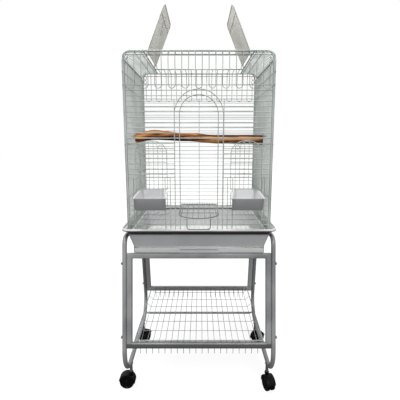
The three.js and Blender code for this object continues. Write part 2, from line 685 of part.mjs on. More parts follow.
function floorGrate() {
  const [halfX, halfY] = [219.6, 170];
  const z = LEDGE_Z + GAP + WIRE / 2;
  const outline = withHole(
    rectangle(-halfX, halfX, -halfY, halfY),
    rectangle(-halfX + 3, halfX - 3, -halfY + 3, halfY - 3),
  );
  const parts = [plateXY(outline, WIRE, z - WIRE / 2)];
  for (const i of mirrored(rows(halfX - 3 - WIRE))) {
    parts.push(wireY(i * PITCH, -halfY + 1, halfY - 1, z, 1.8));
  }
  return weld(parts);
}

function pullOutTray() {
  const { half, front, back, low, top } = TRAY;
  const proud = front - 6; // front panel, which stands forward of the slot
  const body = box(-half, half, proud, back, low, top);
  const hollow = box(-half + 2, half - 2, front + 3, back - 2, low + 2, top + 5);
  const lipHalf = 65.5;
  const fingerRoom = box(-lipHalf + 3, lipHalf - 3, proud - 1, front, low - 1, top - 6);
  const riser = box(-lipHalf, lipHalf, proud, proud + 3, top - 6, top + 3);
  return cut(weld([body, riser]), [hollow, fingerRoom]);
}

add('base_tub', baseTub(), BASE_PLASTIC);
add('floor_grate', floorGrate(), WIRE_PAINT);
add('pull_out_tray', pullOutTray(), BASE_PLASTIC);

// ---------------------------------------------------------------- stand
const legY = (z) => LEG_TOP.y + (LEG_TOP.z - z) * Math.tan(LEAN);

// Half of a side loop, from the middle of its foot round to the middle of its top.
function halfLoop(end) {
  const place = (a, b) => new THREE.Vector3(0, end * a, b);
  const leanDeg = THREE.MathUtils.radToDeg(LEAN);
  const footTurn = Math.tan((Math.PI / 2 + LEAN) / 2);
  const topTurn = Math.tan((Math.PI / 2 - LEAN) / 2);
  const foot = [legY(LOOP.low) - LOOP.bend * footTurn, LOOP.low + LOOP.bend];
  const top = [legY(LOOP.high) - LOOP.topBend * topTurn, LOOP.high - LOOP.topBend];
  return tube(
    [
      place(-0.5, LOOP.low),
      ...arc(place, foot, LOOP.bend, -90, leanDeg, 6),
      ...arc(place, top, LOOP.topBend, leanDeg, 90, 3),
      place(-0.5, LOOP.high),
    ],
    LOOP.r,
    8,
  );
}

const STEM = { r: 4, length: 10 };
const STEM_SIDES = 8;
// Bore whose flats clear the stem's corners at every turn.
const STEM_BORE = (STEM.r + GAP) / Math.cos(Math.PI / STEM_SIDES);

function sideLoop(side) {
  const loop = weld([halfLoop(1), halfLoop(-1)]);
  const bores = [-1, 1].map((end) =>
    rod(STEM_BORE, 2 * (STEM.length + 1), STEM_SIDES)
      .rotateX(Math.PI / 2)
      .translate(0, end * CASTER.y, LOOP.low - LOOP.r),
  );
  return cut(loop, bores).translate(side * LOOP.x, 0, 0);
}

function endFrame(end) {
  const along = (z) => (z - LEG_TOP.z) / Math.cos(LEAN);
  const low = along(FRAME_LOW);
  const high = FRAME_RISE;
  const outline = withHole(
    rectangle(-FRAME_HALF, FRAME_HALF, low, high),
    rectangle(-FRAME_HALF + STAND_TUBE, FRAME_HALF - STAND_TUBE, low + STAND_TUBE, high - STAND_TUBE),
  );
  return plateXZ(outline, STAND_TUBE, 0).rotateX(end * LEAN).translate(0, end * LEG_TOP.y, LEG_TOP.z);
}

const SHELF_REACH = 212.4; // the shelf's side wires end on top of the lower rails

function lowerShelf() {
  const w = SHELF.wire;
  const hookY = legY(230) - STAND_TUBE / 2 - 3.6;
  const depthZ = SHELF.z + w / 2;
  const { z: floorZ, flare } = SHELF_FLOOR;
  const crossZ = floorZ - w - 0.1;
  const parts = [];
  for (const y of [-186, -120, -57, 0, 57, 120, 186]) {
    const rim = [-1, 1].map((side) => new THREE.Vector3(side * SHELF.half, y, SHELF.z));
    const foot = [-1, 1].map((side) => new THREE.Vector3(side * (SHELF.half - flare), y, crossZ));
    parts.push(bentWire([rim[0], foot[0], foot[1], rim[1]], w));
  }
  for (const i of count(SHELF.wires)) {
    const x = (i - (SHELF.wires - 1) / 2) * SHELF.pitch;
    const rim = [-1, 1].map((end) => new THREE.Vector3(x, end * hookY, depthZ));
    const foot = [-1, 1].map((end) => new THREE.Vector3(x, end * (hookY - flare), floorZ));
    parts.push(bentWire([rim[0], foot[0], foot[1], rim[1]], w));
    for (const y of [-hookY, hookY]) {
      parts.push(wireZ(x, y, SHELF.hookZ, depthZ + w / 2, w));
    }
  }
  for (const y of [-hookY, hookY]) {
    parts.push(wireX(-SHELF.half, SHELF.half, y, SHELF.z, 2 * w));
  }
  for (const side of Object.values(SIDES)) {
    parts.push(wireY(side * SHELF.half, -SHELF_REACH, SHELF_REACH, SHELF.z, 2 * w));
  }
  return weld(parts);
}

const REAR_ROD = { y: 184.5, r: 4 };

// The rod meets the side loops where their rear bend passes it.
function rearRod() {
  const bendY = legY(LOOP.low) - LOOP.bend * Math.tan((Math.PI / 2 + LEAN) / 2);
  const rise = LOOP.bend - Math.sqrt(LOOP.bend ** 2 - (REAR_ROD.y - bendY) ** 2);
  return rod(REAR_ROD.r, 2 * FRAME_HALF).rotateZ(Math.PI / 2).translate(0, REAR_ROD.y, LOOP.low + rise);
}

add('front_frame', endFrame(-1), STAND_PAINT);
add('rear_frame', endFrame(1), STAND_PAINT);
add('lower_shelf', lowerShelf(), WIRE_PAINT);
add('rear_rod', rearRod(), STAND_PAINT);

const ENDS = { front: -1, rear: 1 };
const BOLT_ROWS = { upper: 503, lower: 262 };

for (const [sideName, side] of Object.entries(SIDES)) {
  add(`${sideName}_loop`, sideLoop(side), STAND_PAINT);
  for (const [endName, end] of Object.entries(ENDS)) {
    for (const [row, z] of Object.entries(BOLT_ROWS)) {
      const bolt = rod(5.2, 4, 8).rotateZ(Math.PI / 2);
      bolt.translate(side * (LOOP.x + LOOP.r + 2 + GAP), end * legY(z), z);
      add(`${sideName}_${endName}_${row}_bolt`, bolt, ZINC);
    }
  }
}

// ---------------------------------------------------------------- casters
const WHEEL_SIDES = 16;
const WEB = 6; // thickness of the housing between the twin wheels
const HOOD = { r: 29.3, wall: 2.2, half: 16.4, end: Math.PI * 0.93, neck: 52.8 };
const AXLE_R = 3;

// Twin-wheel caster: the swivel stands at the origin and the axle lies behind it, at -x.
function casterHousing() {
  const { trail, wheelR, wheelW, top } = CASTER;
  const hood = new THREE.Shape();
  hood.absarc(-trail, wheelR, HOOD.r, -0.15, HOOD.end, false);
  hood.absarc(-trail, wheelR, HOOD.r - HOOD.wall, HOOD.end, -0.15, true);
  const web = new THREE.Shape();
  web.absarc(-trail, wheelR, HOOD.r - 1, -0.5, Math.PI * 1.1, false);
  const bridge = box(-10, 8, -WEB / 2, WEB / 2, 40, HOOD.neck + 2);
  const neck = rod(8, top - HOOD.neck).rotateX(Math.PI / 2).translate(0, 0, (top + HOOD.neck) / 2);
  const stem = rod(STEM.r, 14, STEM_SIDES).rotateX(Math.PI / 2).translate(0, 0, top + STEM.length - 7);
  const axle = rod(AXLE_R, WEB + 2 * wheelW).translate(-trail, 0, wheelR);
  return weld([plateXZ(hood, 2 * HOOD.half, 0, 8), plateXZ(web, WEB, 0, 8), bridge, neck, stem, axle]);
}

function casterWheel(sign) {
  const r = CASTER.wheelR / Math.cos(Math.PI / WHEEL_SIDES);
  const w = CASTER.wheelW;
  const bore = AXLE_R + GAP;
  const profile = [
    [bore, 0],
    [r, 0],
    [r - 1.5, w],
    [bore, w],
    [bore, 0],
  ].map(([a, b]) => new THREE.Vector2(a, b));
  const wheel = new THREE.LatheGeometry(profile, WHEEL_SIDES).rotateY(Math.PI / WHEEL_SIDES);
  if (sign < 0) {
    wheel.rotateX(Math.PI);
  }
  return wheel.translate(-CASTER.trail, sign * (WEB / 2 + GAP), CASTER.wheelR);
}

// Heading of each caster: where its axle trails to, turned about Z from the cage's -X.
const HEADINGS = { left_front: 0, right_front: 105, left_rear: 250, right_rear: 210 };

for (const [sideName, side] of Object.entries(SIDES)) {
  for (const [endName, end] of Object.entries(ENDS)) {
    const name = `${sideName}_${endName}`;
    const caster = new THREE.Group();
    caster.position.set(side * LOOP.x, end * CASTER.y, FLOOR);
    caster.rotation.z = THREE.MathUtils.degToRad(HEADINGS[name]);
    add(`${name}_caster`, casterHousing(), CASTER_BLACK, caster);
    add(`${name}_wheel_a`, casterWheel(1), CASTER_BLACK, caster);
    add(`${name}_wheel_b`, casterWheel(-1), CASTER_BLACK, caster);
    cage.add(caster);
  }
}

// ---------------------------------------------------------------- origin
// The origin is the middle of the whole object's footprint, on the floor.
const bounds = new THREE.Box3().setFromObject(cage);
cage.position.y = -(bounds.min.y + bounds.max.y) / 2;
cage.position.z = -FLOOR;

export default cage;
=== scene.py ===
# %% [markdown]
# # A bird cage on a wheeled stand
# The cage is a box of welded round wire. It stands in a plastic base with a pull-out
# tray, and the base rests on a stand of bent steel tube with a wire shelf and casters.
# The packed model gives every size and place. This lesson puts real wire, moulded
# plastic, wood and paint in the place of its simple solids.

# %% Load the packed model
import json
import math

import bmesh
import bpy
from mathutils import Matrix, Vector, noise

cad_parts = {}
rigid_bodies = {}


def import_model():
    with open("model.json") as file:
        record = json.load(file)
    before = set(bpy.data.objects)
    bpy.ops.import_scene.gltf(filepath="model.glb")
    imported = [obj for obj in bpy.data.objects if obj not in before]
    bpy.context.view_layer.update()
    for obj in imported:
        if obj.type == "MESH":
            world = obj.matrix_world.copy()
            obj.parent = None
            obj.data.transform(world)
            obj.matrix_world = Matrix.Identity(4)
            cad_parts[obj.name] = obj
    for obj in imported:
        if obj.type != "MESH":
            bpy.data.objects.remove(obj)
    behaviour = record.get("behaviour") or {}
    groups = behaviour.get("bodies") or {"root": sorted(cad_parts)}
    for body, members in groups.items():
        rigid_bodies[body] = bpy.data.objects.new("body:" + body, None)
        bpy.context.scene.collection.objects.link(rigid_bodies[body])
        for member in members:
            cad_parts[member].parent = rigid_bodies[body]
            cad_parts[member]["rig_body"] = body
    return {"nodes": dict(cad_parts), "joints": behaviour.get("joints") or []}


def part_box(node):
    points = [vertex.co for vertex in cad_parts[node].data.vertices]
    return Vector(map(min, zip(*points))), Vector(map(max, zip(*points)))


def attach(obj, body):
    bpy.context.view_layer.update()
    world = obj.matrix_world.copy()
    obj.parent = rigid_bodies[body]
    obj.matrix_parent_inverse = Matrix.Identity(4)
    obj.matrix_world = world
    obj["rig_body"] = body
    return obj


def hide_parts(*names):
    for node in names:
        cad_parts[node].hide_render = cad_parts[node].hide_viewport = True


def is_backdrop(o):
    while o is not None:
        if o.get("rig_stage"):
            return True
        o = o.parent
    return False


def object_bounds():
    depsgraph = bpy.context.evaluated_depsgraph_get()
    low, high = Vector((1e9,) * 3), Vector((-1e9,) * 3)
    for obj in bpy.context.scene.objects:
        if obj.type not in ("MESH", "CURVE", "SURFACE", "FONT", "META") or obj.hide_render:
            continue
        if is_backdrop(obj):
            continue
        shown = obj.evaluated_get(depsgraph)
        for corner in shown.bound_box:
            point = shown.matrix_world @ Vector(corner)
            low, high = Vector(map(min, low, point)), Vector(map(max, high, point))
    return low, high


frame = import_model()
cad_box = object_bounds()
joints = {joint["name"]: joint for joint in frame["joints"]}

# %% [markdown]
# Blender works in metres, but a cage maker thinks in millimetres. Every shape below is
# drawn in millimetres from the middle of the cage's floor plan, with heights in which the
# cage's wires start at 611, and one function turns such a point into metres. The middle
# and the base line come from the two end walls of the packed model.

# %% Millimetres from the middle of the cage
MM = 0.001
CAGE_BOTTOM = 611
front_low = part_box("front_wall")[0]
MIDDLE_Y = (front_low.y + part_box("rear_wall")[1].y) / 2
FLOOR_Z = CAGE_BOTTOM - front_low.z / MM  # the floor's height in these heights


def at(x, y, z):
    """A point in millimetres from the middle of the cage, as metres in the frame."""
    return Vector((x * MM, y * MM + MIDDLE_Y, (z - FLOOR_Z) * MM))


def millimetres(point):
    """The other way round: a point of the frame in millimetres from the cage's middle."""
    return Vector((point[0] / MM, (point[1] - MIDDLE_Y) / MM, point[2] / MM + FLOOR_Z))


def box_mm(node):
    """Both corners of a packed node, in millimetres from the middle of the cage."""
    low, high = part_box(node)
    return millimetres(low), millimetres(high)


print("middle of the cage at y =", round(MIDDLE_Y, 4), "and the floor at", round(FLOOR_Z, 2))

# %% [markdown]
# A finish is a material made of nodes. Written as Python, the maths of a node tree is
# easy to read, so one small class wraps an output socket: adding or multiplying two of
# them adds a Math node. A number may also stand first, as in 1 - value, and for that each
# operator has a reflected form.

# %% Shader maths as Python expressions
class Wave:
    """A value that changes over the surface: one output socket of a finish."""

    def __init__(self, finish, socket):
        self.finish = finish
        self.socket = socket

    def maths(self, operation, first, second):
        sockets = {0: first, 1: second}
        return self.finish.node("ShaderNodeMath", {"operation": operation}, sockets)

    def __add__(self, other):
        return self.maths("ADD", self, other)

    def __radd__(self, other):
        return self.maths("ADD", other, self)

    def __sub__(self, other):
        return self.maths("SUBTRACT", self, other)

    def __rsub__(self, other):
        return self.maths("SUBTRACT", other, self)

    def __mul__(self, other):
        return self.maths("MULTIPLY", self, other)

    def __rmul__(self, other):
        return self.maths("MULTIPLY", other, self)


print("operators:", [name for name in vars(Wave) if name[2:] in ("add__", "sub__", "mul__")])

# %% [markdown]
# The finish itself is a second class. It makes a material, keeps its Principled shader at
# hand, and has a short method for each thing that paint, plastic and wood need: soft
# noise, a ramp, a step between two levels, a blend, a band between two places and fine
# relief. Any other node comes from its node method, which takes the node's type, its
# settings, and what goes into its sockets. What is the same all over the surface is set
# on the shader, and what changes is linked to it.

# %% A finish and its nodes
class Finish:
    """A material with its Principled shader, and short ways to add nodes to it."""

    def __init__(self, name, **fixed):
        self.material = bpy.data.materials.new(name)
        self.material.use_nodes = True
        self.tree = self.material.node_tree
        self.shader = self.tree.nodes["Principled BSDF"]
        for socket, value in fixed.items():
            self.shader.inputs[socket.replace("_", " ")].default_value = value
        self.place = self.node("ShaderNodeTexCoord", {}, {}, "Object")

    def feed(self, socket, value):
        """Links a socket to a value that changes, or sets it where it is the same all over."""
        if isinstance(value, Wave):
            self.tree.links.new(value.socket, socket)
        else:
            socket.default_value = value

    def node(self, kind, settings, sockets, output=0):
        """Adds a node, sets it up, feeds its sockets and gives back one of its outputs."""
        made = self.tree.nodes.new(kind)
        for name, value in settings.items():
            if name == "stops":
                self.set_ramp(made.color_ramp, value)
            else:
                setattr(made, name, value)
        for name, value in sockets.items():
            self.feed(made.inputs[name], value)
        return Wave(self, made.outputs[output])

    @staticmethod
    def set_ramp(ramp, stops):
        while len(ramp.elements) < len(stops):
            ramp.elements.new(0.5)
        for element, (position, value) in zip(ramp.elements, stops):
            element.position = position
            element.color = value

    def surface(self, **sockets):
        """Feeds the shader's own sockets, such as Base_Color or Roughness."""
        for name, value in sockets.items():
            self.feed(self.shader.inputs[name.replace("_", " ")], value)

    def cloud(self, scale, detail=3.0, stretch=(1, 1, 1)):
        """Soft noise from 0 to 1, with stretch to draw it out along an axis."""
        place = self.place
        if stretch != (1, 1, 1):
            place = self.node("ShaderNodeMapping", {}, {"Vector": place, "Scale": stretch})
        sockets = {"Vector": place, "Scale": scale, "Detail": detail}
        return self.node("ShaderNodeTexNoise", {}, sockets)

    def ramp(self, value, stops):
        """The colour that a value picks from stops, each a place from 0 to 1 and a colour."""
        return self.node("ShaderNodeValToRGB", {"stops": stops}, {0: value})

    def step(self, value, low, high):
        """0 below low, 1 above high, and smooth between them."""
        settings = {"interpolation_type": "SMOOTHSTEP"}
        sockets = {"Value": value, "From Min": low, "From Max": high}
        return self.node("ShaderNodeMapRange", settings, sockets)

    def blend(self, share, first, second):
        """Colour between first and second."""
        sockets = {0: share, 6: first, 7: second}
        return self.node("ShaderNodeMix", {"data_type": "RGBA"}, sockets, 2)

    def between(self, axis, low, high, soft):
        """1 where the place along an axis, in metres, lies between low and high."""
        along = self.node("ShaderNodeSeparateXYZ", {}, {0: self.place}, axis)
        inside = self.step(along, low - soft, low)
        return inside * (1 - self.step(along, high, high + soft))

    def bump(self, height, strength, depth):
        """Fine relief of that depth, in metres, through the shader's normal."""
        sockets = {"Height": height, "Strength": strength, "Distance": depth}
        self.surface(Normal=self.node("ShaderNodeBump", {}, sockets))


print("a finish has", [name for name in vars(Finish) if not name.startswith("_")])

# %% [markdown]
# People pick a colour as a screen shows it, with three parts from 0 to 255, but a shader
# works with linear light, in which the mid tones are much smaller numbers. One function
# turns the first into the second, so that every finish below can name its colours plainly.

# %% Colours
def colour(red, green, blue):
    """A colour given as a screen shows it, from 0 to 255, as the linear light it stands for."""

    def light(part):
        share = part / 255
        return share / 12.92 if share <= 0.04045 else ((share + 0.055) / 1.055) ** 2.4
    return (light(red), light(green), light(blue), 1.0)


print("a mid grey is", [round(part, 3) for part in colour(128, 128, 128)])

# %% [markdown]
# The wires and the tubes are powder coated: dry paint is baked on, which leaves a satin
# skin with a very fine orange peel. Noise at a millimetre or so gives that relief, and a
# much larger noise shifts the shade a little, since no two bars hang at the same spot in
# the oven. The walls and the stand each have a shade of their own. The door and the
# shelf have darker coats, as painted shade, and the flaps, the floor grate and the stand's
# rear frame paler ones, as painted light. The front frame has a painted shadow, a dark
# band along its low rail. On the real cage and stand these are probably light and shade on one or
# two paints.

# %% Powder coat on wire and on tube
# The front frame's coat gets a painted shadow between these heights, along its low rail.
LOW_RAIL = (0.196, 0.2265)  # heights of the front frame's low rail, in metres
RAIL_FADE = 0.004


def powder_coat(name, pale, deep, metallic, rough, low_rail=None):
    """Satin paint between two shades, with a painted shadow of that colour on the low rail."""
    finish = Finish(name, Metallic=metallic)
    drift = finish.cloud(9, 2)
    speck = finish.cloud(900, 2)
    shade = finish.blend(finish.step(drift, 0.35, 0.65), colour(*pale), colour(*deep))
    # A painted shadow darkens the coat along the low rail.
    if low_rail:
        band = finish.between(2, *LOW_RAIL, RAIL_FADE)
        shade = finish.blend(0.9 * band, shade, colour(*low_rail))
    finish.surface(Base_Color=finish.blend(0.25 * speck, shade, colour(*deep)))
    finish.surface(Roughness=rough + 0.14 * (speck - 0.5) + 0.1 * (drift - 0.5))
    finish.bump(speck, 0.25, 0.0002)
    return finish.material


STAND_PALE, STAND_DEEP = (166, 167, 168), (138, 139, 141)
wire_paint = powder_coat("wire_powder_coat", (204, 211, 206), (174, 183, 178), 0.1, 0.42)
stand_paint = powder_coat("stand_powder_coat", STAND_PALE, STAND_DEEP, 0.12, 0.4)
# The front frame's coat, with a painted shadow along its low rail.
front_stand_shadowed_paint = powder_coat(
    "front_stand_shadowed_coat", STAND_PALE, STAND_DEEP, 0.12, 0.4, low_rail=(62, 61, 60)
)
# The rear frame's paler coat is painted light on the stand's one paint.
rear_stand_lit_paint = powder_coat(
    "rear_stand_lit_coat", (206, 207, 208), (190, 191, 193), 0.12, 0.4
)
# The door's darker coat is painted shade on the wire paint.
door_shaded_paint = powder_coat("door_shaded_coat", (126, 131, 128), (102, 107, 104), 0.1, 0.42)
# The flaps' paler coat is painted light on the wire paint.
flap_lit_paint = powder_coat("flap_lit_coat", (232, 231, 223), (214, 213, 205), 0.05, 0.42)
# The floor grate's paler coat is painted light on the wire paint.
grate_lit_paint = powder_coat("grate_lit_coat", (222, 225, 223), (196, 200, 198), 0.05, 0.42)
# The shelf's darker coat is painted shade.
shelf_shaded_paint = powder_coat("shelf_shaded_coat", (172, 175, 174), (146, 149, 148), 0.05, 0.42)
print("painted finishes:", [paint.name for paint in bpy.data.materials if "coat" in paint.name])

# %% [markdown]
# The base, the tray and the cups are injection moulded. Such plastic has a faint grain
# from the mould, a slightly uneven gloss, and fine rubbing marks where things slide. The
# tub's plastic also has painted bands by height, outside only: a painted shadow under the
# flange, which lies in its own shadow, and a nearly white painted highlight along the rim.

# %% Moulded plastics
# A painted shadow under the tub's flange and a painted highlight along its rim, by height.
RIM_SHADOW_GREY = (66, 66, 68)
TUB_SHADOW_AND_HIGHLIGHT = [  # from and to a height, how far out the inside ends along X and Y, and shade
    # painted shadow under the flange, in two bands
    (606, 616.4, 225.5, 174.5, RIM_SHADOW_GREY),
    (616.4, 620, 247.6, 196.8, RIM_SHADOW_GREY),
    # painted highlight along the rim
    (623, 640, 100, 100, (250, 250, 250)),
]
SIDE_FADE, BAND_FADE = 0.001, 0.003
RUBBED = colour(235, 235, 235)


def moulded(name, pale, deep, rough, grain, bands=()):
    """Plastic between two shades, with a grain of that many cells to the metre."""
    finish = Finish(name, Specular_IOR_Level=0.45)
    drift = finish.cloud(6, 3)
    cells = finish.node(
        "ShaderNodeTexVoronoi", {}, {"Vector": finish.place, "Scale": grain}
    )
    rub = finish.step(finish.cloud(40, 4, (1, 9, 9)), 0.56, 0.72)
    shade = finish.blend(finish.step(drift, 0.3, 0.7), colour(*pale), colour(*deep))
    # Each band paints a shadow or a highlight on the outside, between its heights.
    for low, high, in_x, in_y, tint in bands:
        inside_x = finish.between(0, -in_x * MM, in_x * MM, SIDE_FADE)
        inside_y = finish.between(1, MIDDLE_Y - in_y * MM, MIDDLE_Y + in_y * MM, SIDE_FADE)
        level = finish.between(2, (low - FLOOR_Z) * MM, (high - FLOOR_Z) * MM, BAND_FADE)
        shade = finish.blend(level * (1 - inside_x * inside_y), shade, colour(*tint))
    finish.surface(Base_Color=finish.blend(0.12 * rub, shade, RUBBED))
    finish.surface(Roughness=rough + 0.12 * (drift - 0.5) - 0.1 * rub)
    finish.bump(cells, 0.12, 0.0002)
    return finish.material


base_plastic = moulded(
    "base_plastic", (216, 217, 218), (206, 207, 209), 0.5, 900, TUB_SHADOW_AND_HIGHLIGHT
)
tray_plastic = moulded("tray_plastic", (238, 238, 237), (230, 230, 229), 0.5, 900)
# The cups are one plastic: a darker copy outside as painted shade, a paler copy inside as painted
# light.
cup_plastic = moulded("cup_plastic", (172, 172, 175), (158, 158, 162), 0.42, 1200)
cup_lit_inside = moulded("cup_lit_inside", (222, 222, 223), (210, 210, 212), 0.38, 1200)
print("moulded finishes:", base_plastic.name, tray_plastic.name, cup_plastic.name)

# %% [markdown]
# The perch is a natural branch with its bark taken off. Its wood is orange brown with
# dark streaks that run along it. Noise stretched along the branch makes the streaks; a
# second, finer one makes the open grain that the bump picks up.
# The bolts and nuts are zinc plated, and the casters are black plastic, a little scuffed.

# %% Branch wood, zinc and black plastic
wood = Finish("branch_wood", Specular_IOR_Level=0.3)
streaks = wood.cloud(52, 5, (0.2, 1.5, 1.5))
grain = wood.cloud(260, 4, (0.05, 1, 1))
patches = wood.cloud(11, 3, (0.6, 1, 1))
body_colour = wood.ramp(streaks + 0.18 * (patches - 0.5), [
    (0.4, colour(46, 23, 12)),
    (0.47, colour(118, 66, 30)),
    (0.54, colour(190, 120, 58)),
    (0.64, colour(224, 164, 98)),
])
pores = wood.step(grain, 0.52, 0.66)
wood.surface(Base_Color=wood.blend(0.4 * pores, body_colour, colour(52, 28, 15)))
wood.surface(Roughness=0.58 + 0.2 * streaks)
wood.bump(0.7 * streaks + 0.3 * grain, 0.6, 0.0012)

zinc = Finish("zinc_plate", Metallic=0.9)
mottle = zinc.cloud(160, 3)
zinc.surface(Base_Color=zinc.blend(mottle, colour(168, 170, 173), colour(134, 137, 141)))
zinc.surface(Roughness=0.28 + 0.2 * mottle)
zinc.bump(zinc.cloud(1100, 2), 0.15, 0.0001)

black = Finish("caster_plastic", Specular_IOR_Level=0.12)
scuff = black.step(black.cloud(150, 4), 0.55, 0.75)
black.surface(Base_Color=black.blend(0.12 * scuff, colour(5, 5, 5), colour(48, 48, 48)))
black.surface(Roughness=0.4 + 0.25 * scuff)
black.bump(black.cloud(900, 2), 0.15, 0.0001)
print(len(bpy.data.materials), "materials so far")

# %% [markdown]
# A round wire is a curve with a bevel: Blender sweeps a circle along it. One curve
# object can hold many strands, each with its own thickness, so a whole welded panel is
# one object. It is then turned into a mesh. The tip of each open strand narrows over
# its last bit, as a cropped and painted wire end does.

# %% Round wire
TIP = [(0, 0.5), (0.3, 0.86), (0.8, 1)]  # how far in, in radii, and how thick there


def tipped(points, radius):
    """Points with their radius, with a rounded tip at both ends."""
    points = [Vector(point) for point in points]
    starts = (points[1] - points[0]).normalized()
    ends = (points[-2] - points[-1]).normalized()
    front = [(points[0] + starts * radius * far, radius * thick) for far, thick in TIP]
    back = [(points[-1] + ends * radius * far, radius * thick) for far, thick in TIP]
    middle = [(point, radius) for point in points[1:-1]]
    return front + middle + back[::-1]


def wire_mesh(name, strands, sides):
    """One mesh of round wires. A strand is its points, its radius and whether it closes."""
    curve = bpy.data.curves.new(name, "CURVE")
    curve.dimensions = "3D"
    curve.bevel_depth = MM
    curve.bevel_resolution = sides // 2 - 2
    curve.use_fill_caps = True
    for points, radius, closed in strands:
        knots = [(point, radius) for point in points] if closed else tipped(points, radius)
        spline = curve.splines.new("POLY")
        spline.points.add(len(knots) - 1)
        spline.use_cyclic_u = closed
        for knot, (place, thick) in zip(spline.points, knots):
            knot.co = (*at(*place), 1)
            knot.radius = thick
    drawn = bpy.data.objects.new(name, curve)
    bpy.context.scene.collection.objects.link(drawn)
    ready = drawn.evaluated_get(bpy.context.evaluated_depsgraph_get())
    mesh = bpy.data.meshes.new_from_object(ready)
    bpy.data.objects.remove(drawn)
    return mesh


def piece(name, mesh, node, finish, smooth=40):
    """Puts a mesh in the scene, painted, riding where its packed node rides."""
    mesh.materials.clear()
    mesh.materials.append(finish)
    mesh.polygons.foreach_set("use_smooth", [True] * len(mesh.polygons))
    mesh.set_sharp_from_angle(angle=math.radians(smooth))
    made = bpy.data.objects.new(name, mesh)
    bpy.context.scene.collection.objects.link(made)
    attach(made, frame["nodes"][node]["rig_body"])
    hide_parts(node)
    print(f"{name}: {len(mesh.polygons)} faces in place of {node}")
    return made


def wire_piece(name, strands, node, sides=8, finish=wire_paint):
    return piece(name, wire_mesh(name, strands, sides), node, finish, 60)


# %% [markdown]
# Panels are drawn from three kinds of strand: straight ones along X, Y or Z, and bends.
# A bend is worked out as pairs of numbers in a plane and then lifted into space.

# %% Straight strands and bends
def along_x(x0, x1, y, z, radius):
    return [(x0, y, z), (x1, y, z)], radius, False


def along_y(x, y0, y1, z, radius):
    return [(x, y0, z), (x, y1, z)], radius, False


def along_z(x, y, z0, z1, radius):
    return [(x, y, z0), (x, y, z1)], radius, False


def arc(centre, radius, start, end, steps=12, tall=None):
    """Pairs on an arc in a plane, in degrees; tall is its radius along the second axis."""
    tall = tall or radius
    turns = [math.radians(start + (end - start) * i / steps) for i in range(steps + 1)]
    return [(centre[0] + radius * math.cos(t), centre[1] + tall * math.sin(t)) for t in turns]


def in_xz(pairs, y):
    return [(a, y, b) for a, b in pairs]


def in_yz(pairs, x):
    return [(x, a, b) for a, b in pairs]


def in_xy(pairs, z):
    return [(a, b, z) for a, b in pairs]


def rounded_rectangle(half_a, low, high, radius, steps):
    """Pairs round a rectangle with rounded corners, from its lower right corner."""
    corners = [
        (half_a - radius, low + radius, -90),
        (half_a - radius, high - radius, 0),
        (radius - half_a, high - radius, 90),
        (radius - half_a, low + radius, 180),
    ]
    pairs = []
    for a, b, start in corners:
        pairs += arc((a, b), radius, start, start + 90, steps)
    return pairs


SIDES = {"left": -1, "right": 1}
print("a quarter bend:", arc((0, 0), 10, 0, 90, 2))

# %% [markdown]
# The front and rear walls share their frame and the decorated band along the top. A
# thick wire makes the frame, with rounded top corners. Below the band, level wires lie
# on the inside and uprights on the outside, welded where they cross. In the band, each
# pair of uprights is one wire bent to a U, whose loop hangs a little below the band.
# Two small rings fill each top corner.

# %% Sizes of the cage's walls
WIRE = 1.2  # radius of the grille wire
FRAME_WIRE = 2.0
BAR = 1.5
END_HALF = 2.5  # half the depth of an end wall
BOTTOM, TOP = box_mm("front_wall")[0].z, box_mm("front_wall")[1].z
WALL_HALF = box_mm("front_wall")[1].x - FRAME_WIRE
HALF_DEPTH = box_mm("rear_wall")[1].y - END_HALF
BAND_Z = 1071
BAND_PITCH = 20.4
PITCH = 15.875
CORNER = 20
LEVELS = [BAND_Z - (row + 1) * PITCH for row in range(28)]
LINTEL_Z = LEVELS[9]
FEEDER_TOP = 790
SILL_Z = 701
PAIRS = range(-5, 6)
SHORT_TOP = 1130  # where the outermost uprights end, at the foot of the corner rings
RING_X, RING_HEIGHTS = 216.7, (1152, 1136.6)
RING_HALF_X, RING_HALF_Z, RING_WIRE = 4.9, 6.9, 1.1
print("walls from", round(BOTTOM, 1), "to", round(TOP, 1), "and", round(HALF_DEPTH, 1), "out")


# %% Frame, band and corner rings of an end wall
def u_loop(first, second, top_first, top_second, low, y):
    """One wire down at x = first, round below z = low, and up again at x = second."""
    middle = (first + second) / 2
    half = (second - first) / 2
    bend = arc((middle, low), half, 180, 360, 8)
    return in_xz([(first, top_first), *bend, (second, top_second)], y), WIRE, False


def end_wall(front):
    """Strands of an end wall's frame and band, and where its uprights and levels lie."""
    y = front * HALF_DEPTH
    upright = y + front * WIRE
    level = y - front * WIRE
    outline = [
        (WALL_HALF, BOTTOM + FRAME_WIRE),
        *arc((WALL_HALF - CORNER, TOP - FRAME_WIRE - CORNER), CORNER, 0, 90),
        *arc((CORNER - WALL_HALF, TOP - FRAME_WIRE - CORNER), CORNER, 90, 180),
        (-WALL_HALF, BOTTOM + FRAME_WIRE),
    ]
    strands = [(in_xz(outline, y), FRAME_WIRE, True)]
    strands.append(along_x(-WALL_HALF, WALL_HALF, level, BAND_Z, BAR))
    strands.append(along_x(-WALL_HALF, WALL_HALF, level, TOP - 12, WIRE))
    top = TOP - FRAME_WIRE
    for pair in PAIRS:
        middle = pair * 2 * BAND_PITCH
        left, right = middle - BAND_PITCH / 2, middle + BAND_PITCH / 2
        left_top = SHORT_TOP if pair == PAIRS[0] else top
        right_top = SHORT_TOP if pair == PAIRS[-1] else top
        strands.append(u_loop(left, right, left_top, right_top, BAND_Z, upright))
    for side in SIDES.values():
        for z in RING_HEIGHTS:
            ring = arc((side * RING_X, z), RING_HALF_X, 0, 345, 23, RING_HALF_Z)
            strands.append((in_xz(ring, upright), RING_WIRE, True))
    return strands, upright, level


